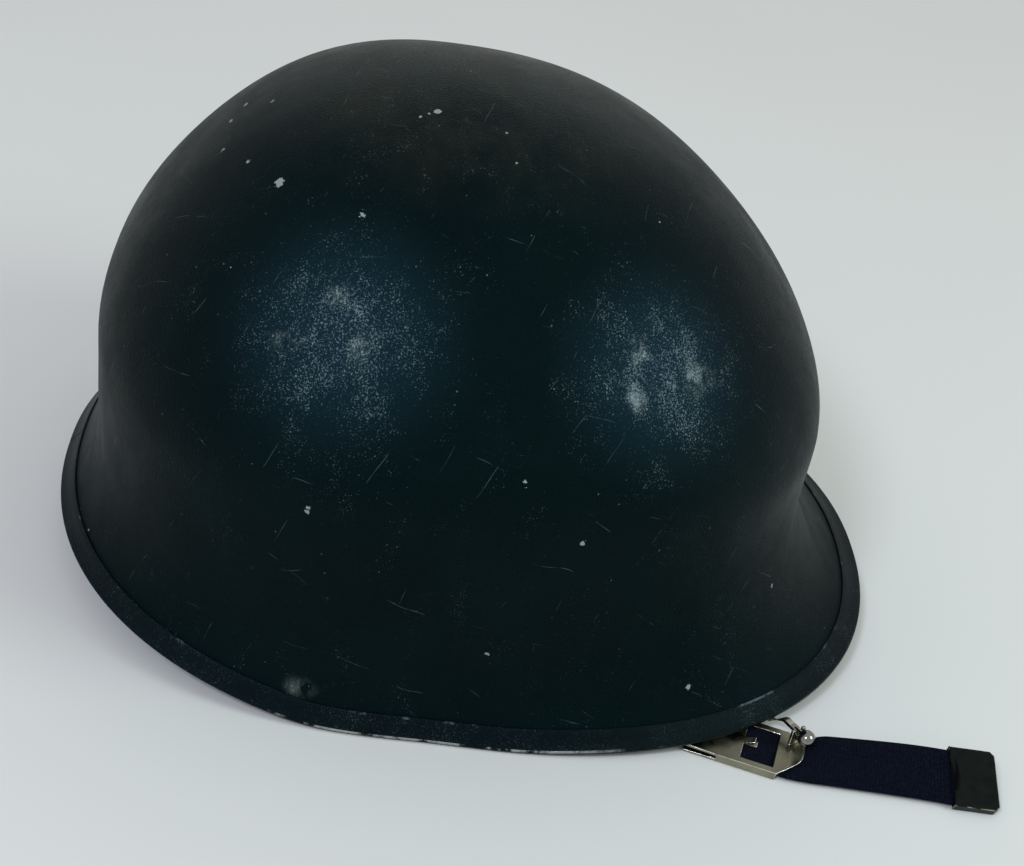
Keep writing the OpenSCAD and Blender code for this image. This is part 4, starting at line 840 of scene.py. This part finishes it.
# Twill lines 1.4 mm apart that turn back every 4 mm across the width
zigzag = add(tree, "PINGPONG", [weave.outputs[1], 4 * MM])
slant = add(tree, "ADD", [zigzag, weave.outputs[0]])
twill = add(tree, "SINE", [add(tree, "MULTIPLY", [slant, 2 * math.pi / (1.4 * MM)])])
soil = add(tree, "ShaderNodeTexNoise", {"Vector": read["Object"], "Scale": 60, "Detail": 4})
tone = add(tree, "ShaderNodeMix", [soil, linear("#5c563c"), linear("#8b8262")], data_type="RGBA")
shade = add(tree, "ShaderNodeMapRange", [twill, -1, 1, 0.55])
weft = add(tree, "ShaderNodeMix", [shade, linear("#332f20"), tone], data_type="RGBA")
give(herringbone, (twill, 0.5, 0.0003), Base_Color=weft)

# The ring: drawn out to the liner at its six rivets and held off the sweatband between them
band_z, band_half, band_thick, rivet_gap, head_gap = 62, 12.5, 1.3, 1.45, 2.9
band = []
for t in range(0, 360, 4):
    near_r, far_r = wall_r(t, band_z, rivet_gap + band_thick / 2), head_r(t) + head_gap + band_thick / 2
    r = far_r + (near_r - far_r) * eased(0.675 * (1 + math.cos(math.radians(6 * (t - 30)))) - 0.1)
    band.append(np.array([spot_at(r, t, band_z), [0, 0, band_half], spot_at(1, t, 0)]))
ring_band = webbing("suspension_ring", band, herringbone, thick=band_thick, closed=True)
settle(ring_band, "liner", "liner_webbing", "support_band")
# The crown straps: each an arch between two opposite rivets, with its ends led down inside the ring
strap_low, strap_top, stack, end_drop, strap_half = 70, heights.max() / MM - 30.3, 1.75, 18, 9.5
for k in range(3):
    t0, arch_z = 30 + 60 * k, strap_top + stack * k - strap_low
    reach_at = [wall_r(t, band_z, rivet_gap + band_thick * 1.5 + 0.7) for t in (t0, t0 + 180)]
    turn_at = [(wall_yaw(t, band_z) - t + 900) % 360 - 180 for t in (t0, t0 + 180)]
    strap = []
    for i in range(-26, 27):
        end, u = int(i >= 0), abs(i) / 24
        a = math.radians(90 * min(1, u))
        r, t = reach_at[end] * math.sin(a), (t0, t0 + 180)[end]
        z = strap_low + arch_z * math.cos(a) - max(0, u - 1) * 12 * end_drop
        slope = math.degrees(math.atan2(arch_z * math.sin(a), reach_at[end] * math.cos(a) + 0.01))
        heading = t0 + 90 + turn_at[end] * eased((min(1, u) - 0.5) / 0.4)
        strap.append(station(*spot_at(r, t, z), heading, slope if i < 0 else -slope, 0, strap_half))
    crown_strap = webbing(f"crown_webbing_{k + 1}", strap, herringbone, thick=band_thick)
    settle(crown_strap, "liner", "liner_webbing", f"crown_strap_{k + 1}")
# The nape strap: from rivet to rivet, standing off the liner between them
nape_low, nape_high, nape_belly = 35.5, 47.5, 7
nape = []
for i in range(37):
    t = 145 + 70 * i / 36
    dip = rivet_gap + nape_belly * math.sin(math.radians(6 * (t - 150))) ** 2 + band_thick / 2
    low, high = (spot_at(wall_r(t, z, dip), t, z) for z in (nape_low, nape_high))
    nape.append(np.array([(low + high) / 2, (high - low) / 2, spot_at(1, t, 0)]))
nape_strap = webbing("nape_webbing", nape, herringbone, thick=band_thick)
settle(nape_strap, "liner", "liner_webbing", "nape_strap")

# The sweatband: a loop of russet sheepskin on a stiff backing, stitched along both edges, clipped to
# the suspension ring and drawn to the head's size by a flat frame at the nape.
leather = mottled("russet_leather", "#3c2413", "#7a5230", 30, 5, Roughness=0.5, Specular_IOR_Level=0.4)[0]
tree = leather.node_tree
place = add(tree, "ShaderNodeTexCoord").outputs["Object"]
grain = add(tree, "ShaderNodeTexVoronoi", {"Vector": place, "Scale": 900}, feature="DISTANCE_TO_EDGE")
give(leather, (grain, 0.35, 0.0003))
linen = mottled("waxed_linen_thread", "#8d8468", "#b5ab8c", 400, 2, Roughness=0.6, Specular_IOR_Level=0.3)[0]

hide_z, hide_half, hide_thick = 51, 15, 1.6
hide = [np.array([spot_at(head_r(t) + hide_thick / 2, t, hide_z), [0, 0, hide_half], spot_at(1, t, 0)])
        for t in range(0, 360, 4)]
sweatband = webbing("sweatband_leather", hide, leather, thick=hide_thick, closed=True)
settle(sweatband, "liner", "sweat_leather", "sweatband")
rims = [[spot_at(head_r(t) - 0.05, t, z) for t in range(0, 361, 4)] for z in (hide_z - 12.5, hide_z + 12.5)]
settle(sewn("sweatband_stitching", rims, linen), "liner", "sweat_leather")

# The liner's small metal: blackened steel washers and clips, and brass rivets, studs and eyelet whose
# lacquer has worn off in patches.
blacked = mottled("blackened_steel", "#202423", "#565a55", 200, 5, 0.65, Metallic=0.7, Roughness=0.45)[0]
brass = mottled("lacquered_brass", "#2b2a20", "#85764a", 260, 5, 0.65, (0.42, 0.62),
                Metallic=0.85, Roughness=0.42)[0]
for node, name in (("suspension_washers", "spread_washers"), ("sweatband_clips", "spring_clips"),
                   ("sweatband_buckle", "size_frame")):
    settle(pressed(node, name, blacked, 0.07 * MM), "liner", "liner_metal", node)
for node in ("suspension_rivets", "nape_rivets", "liner_studs", "front_eyelet"):
    cad_look(node, brass)
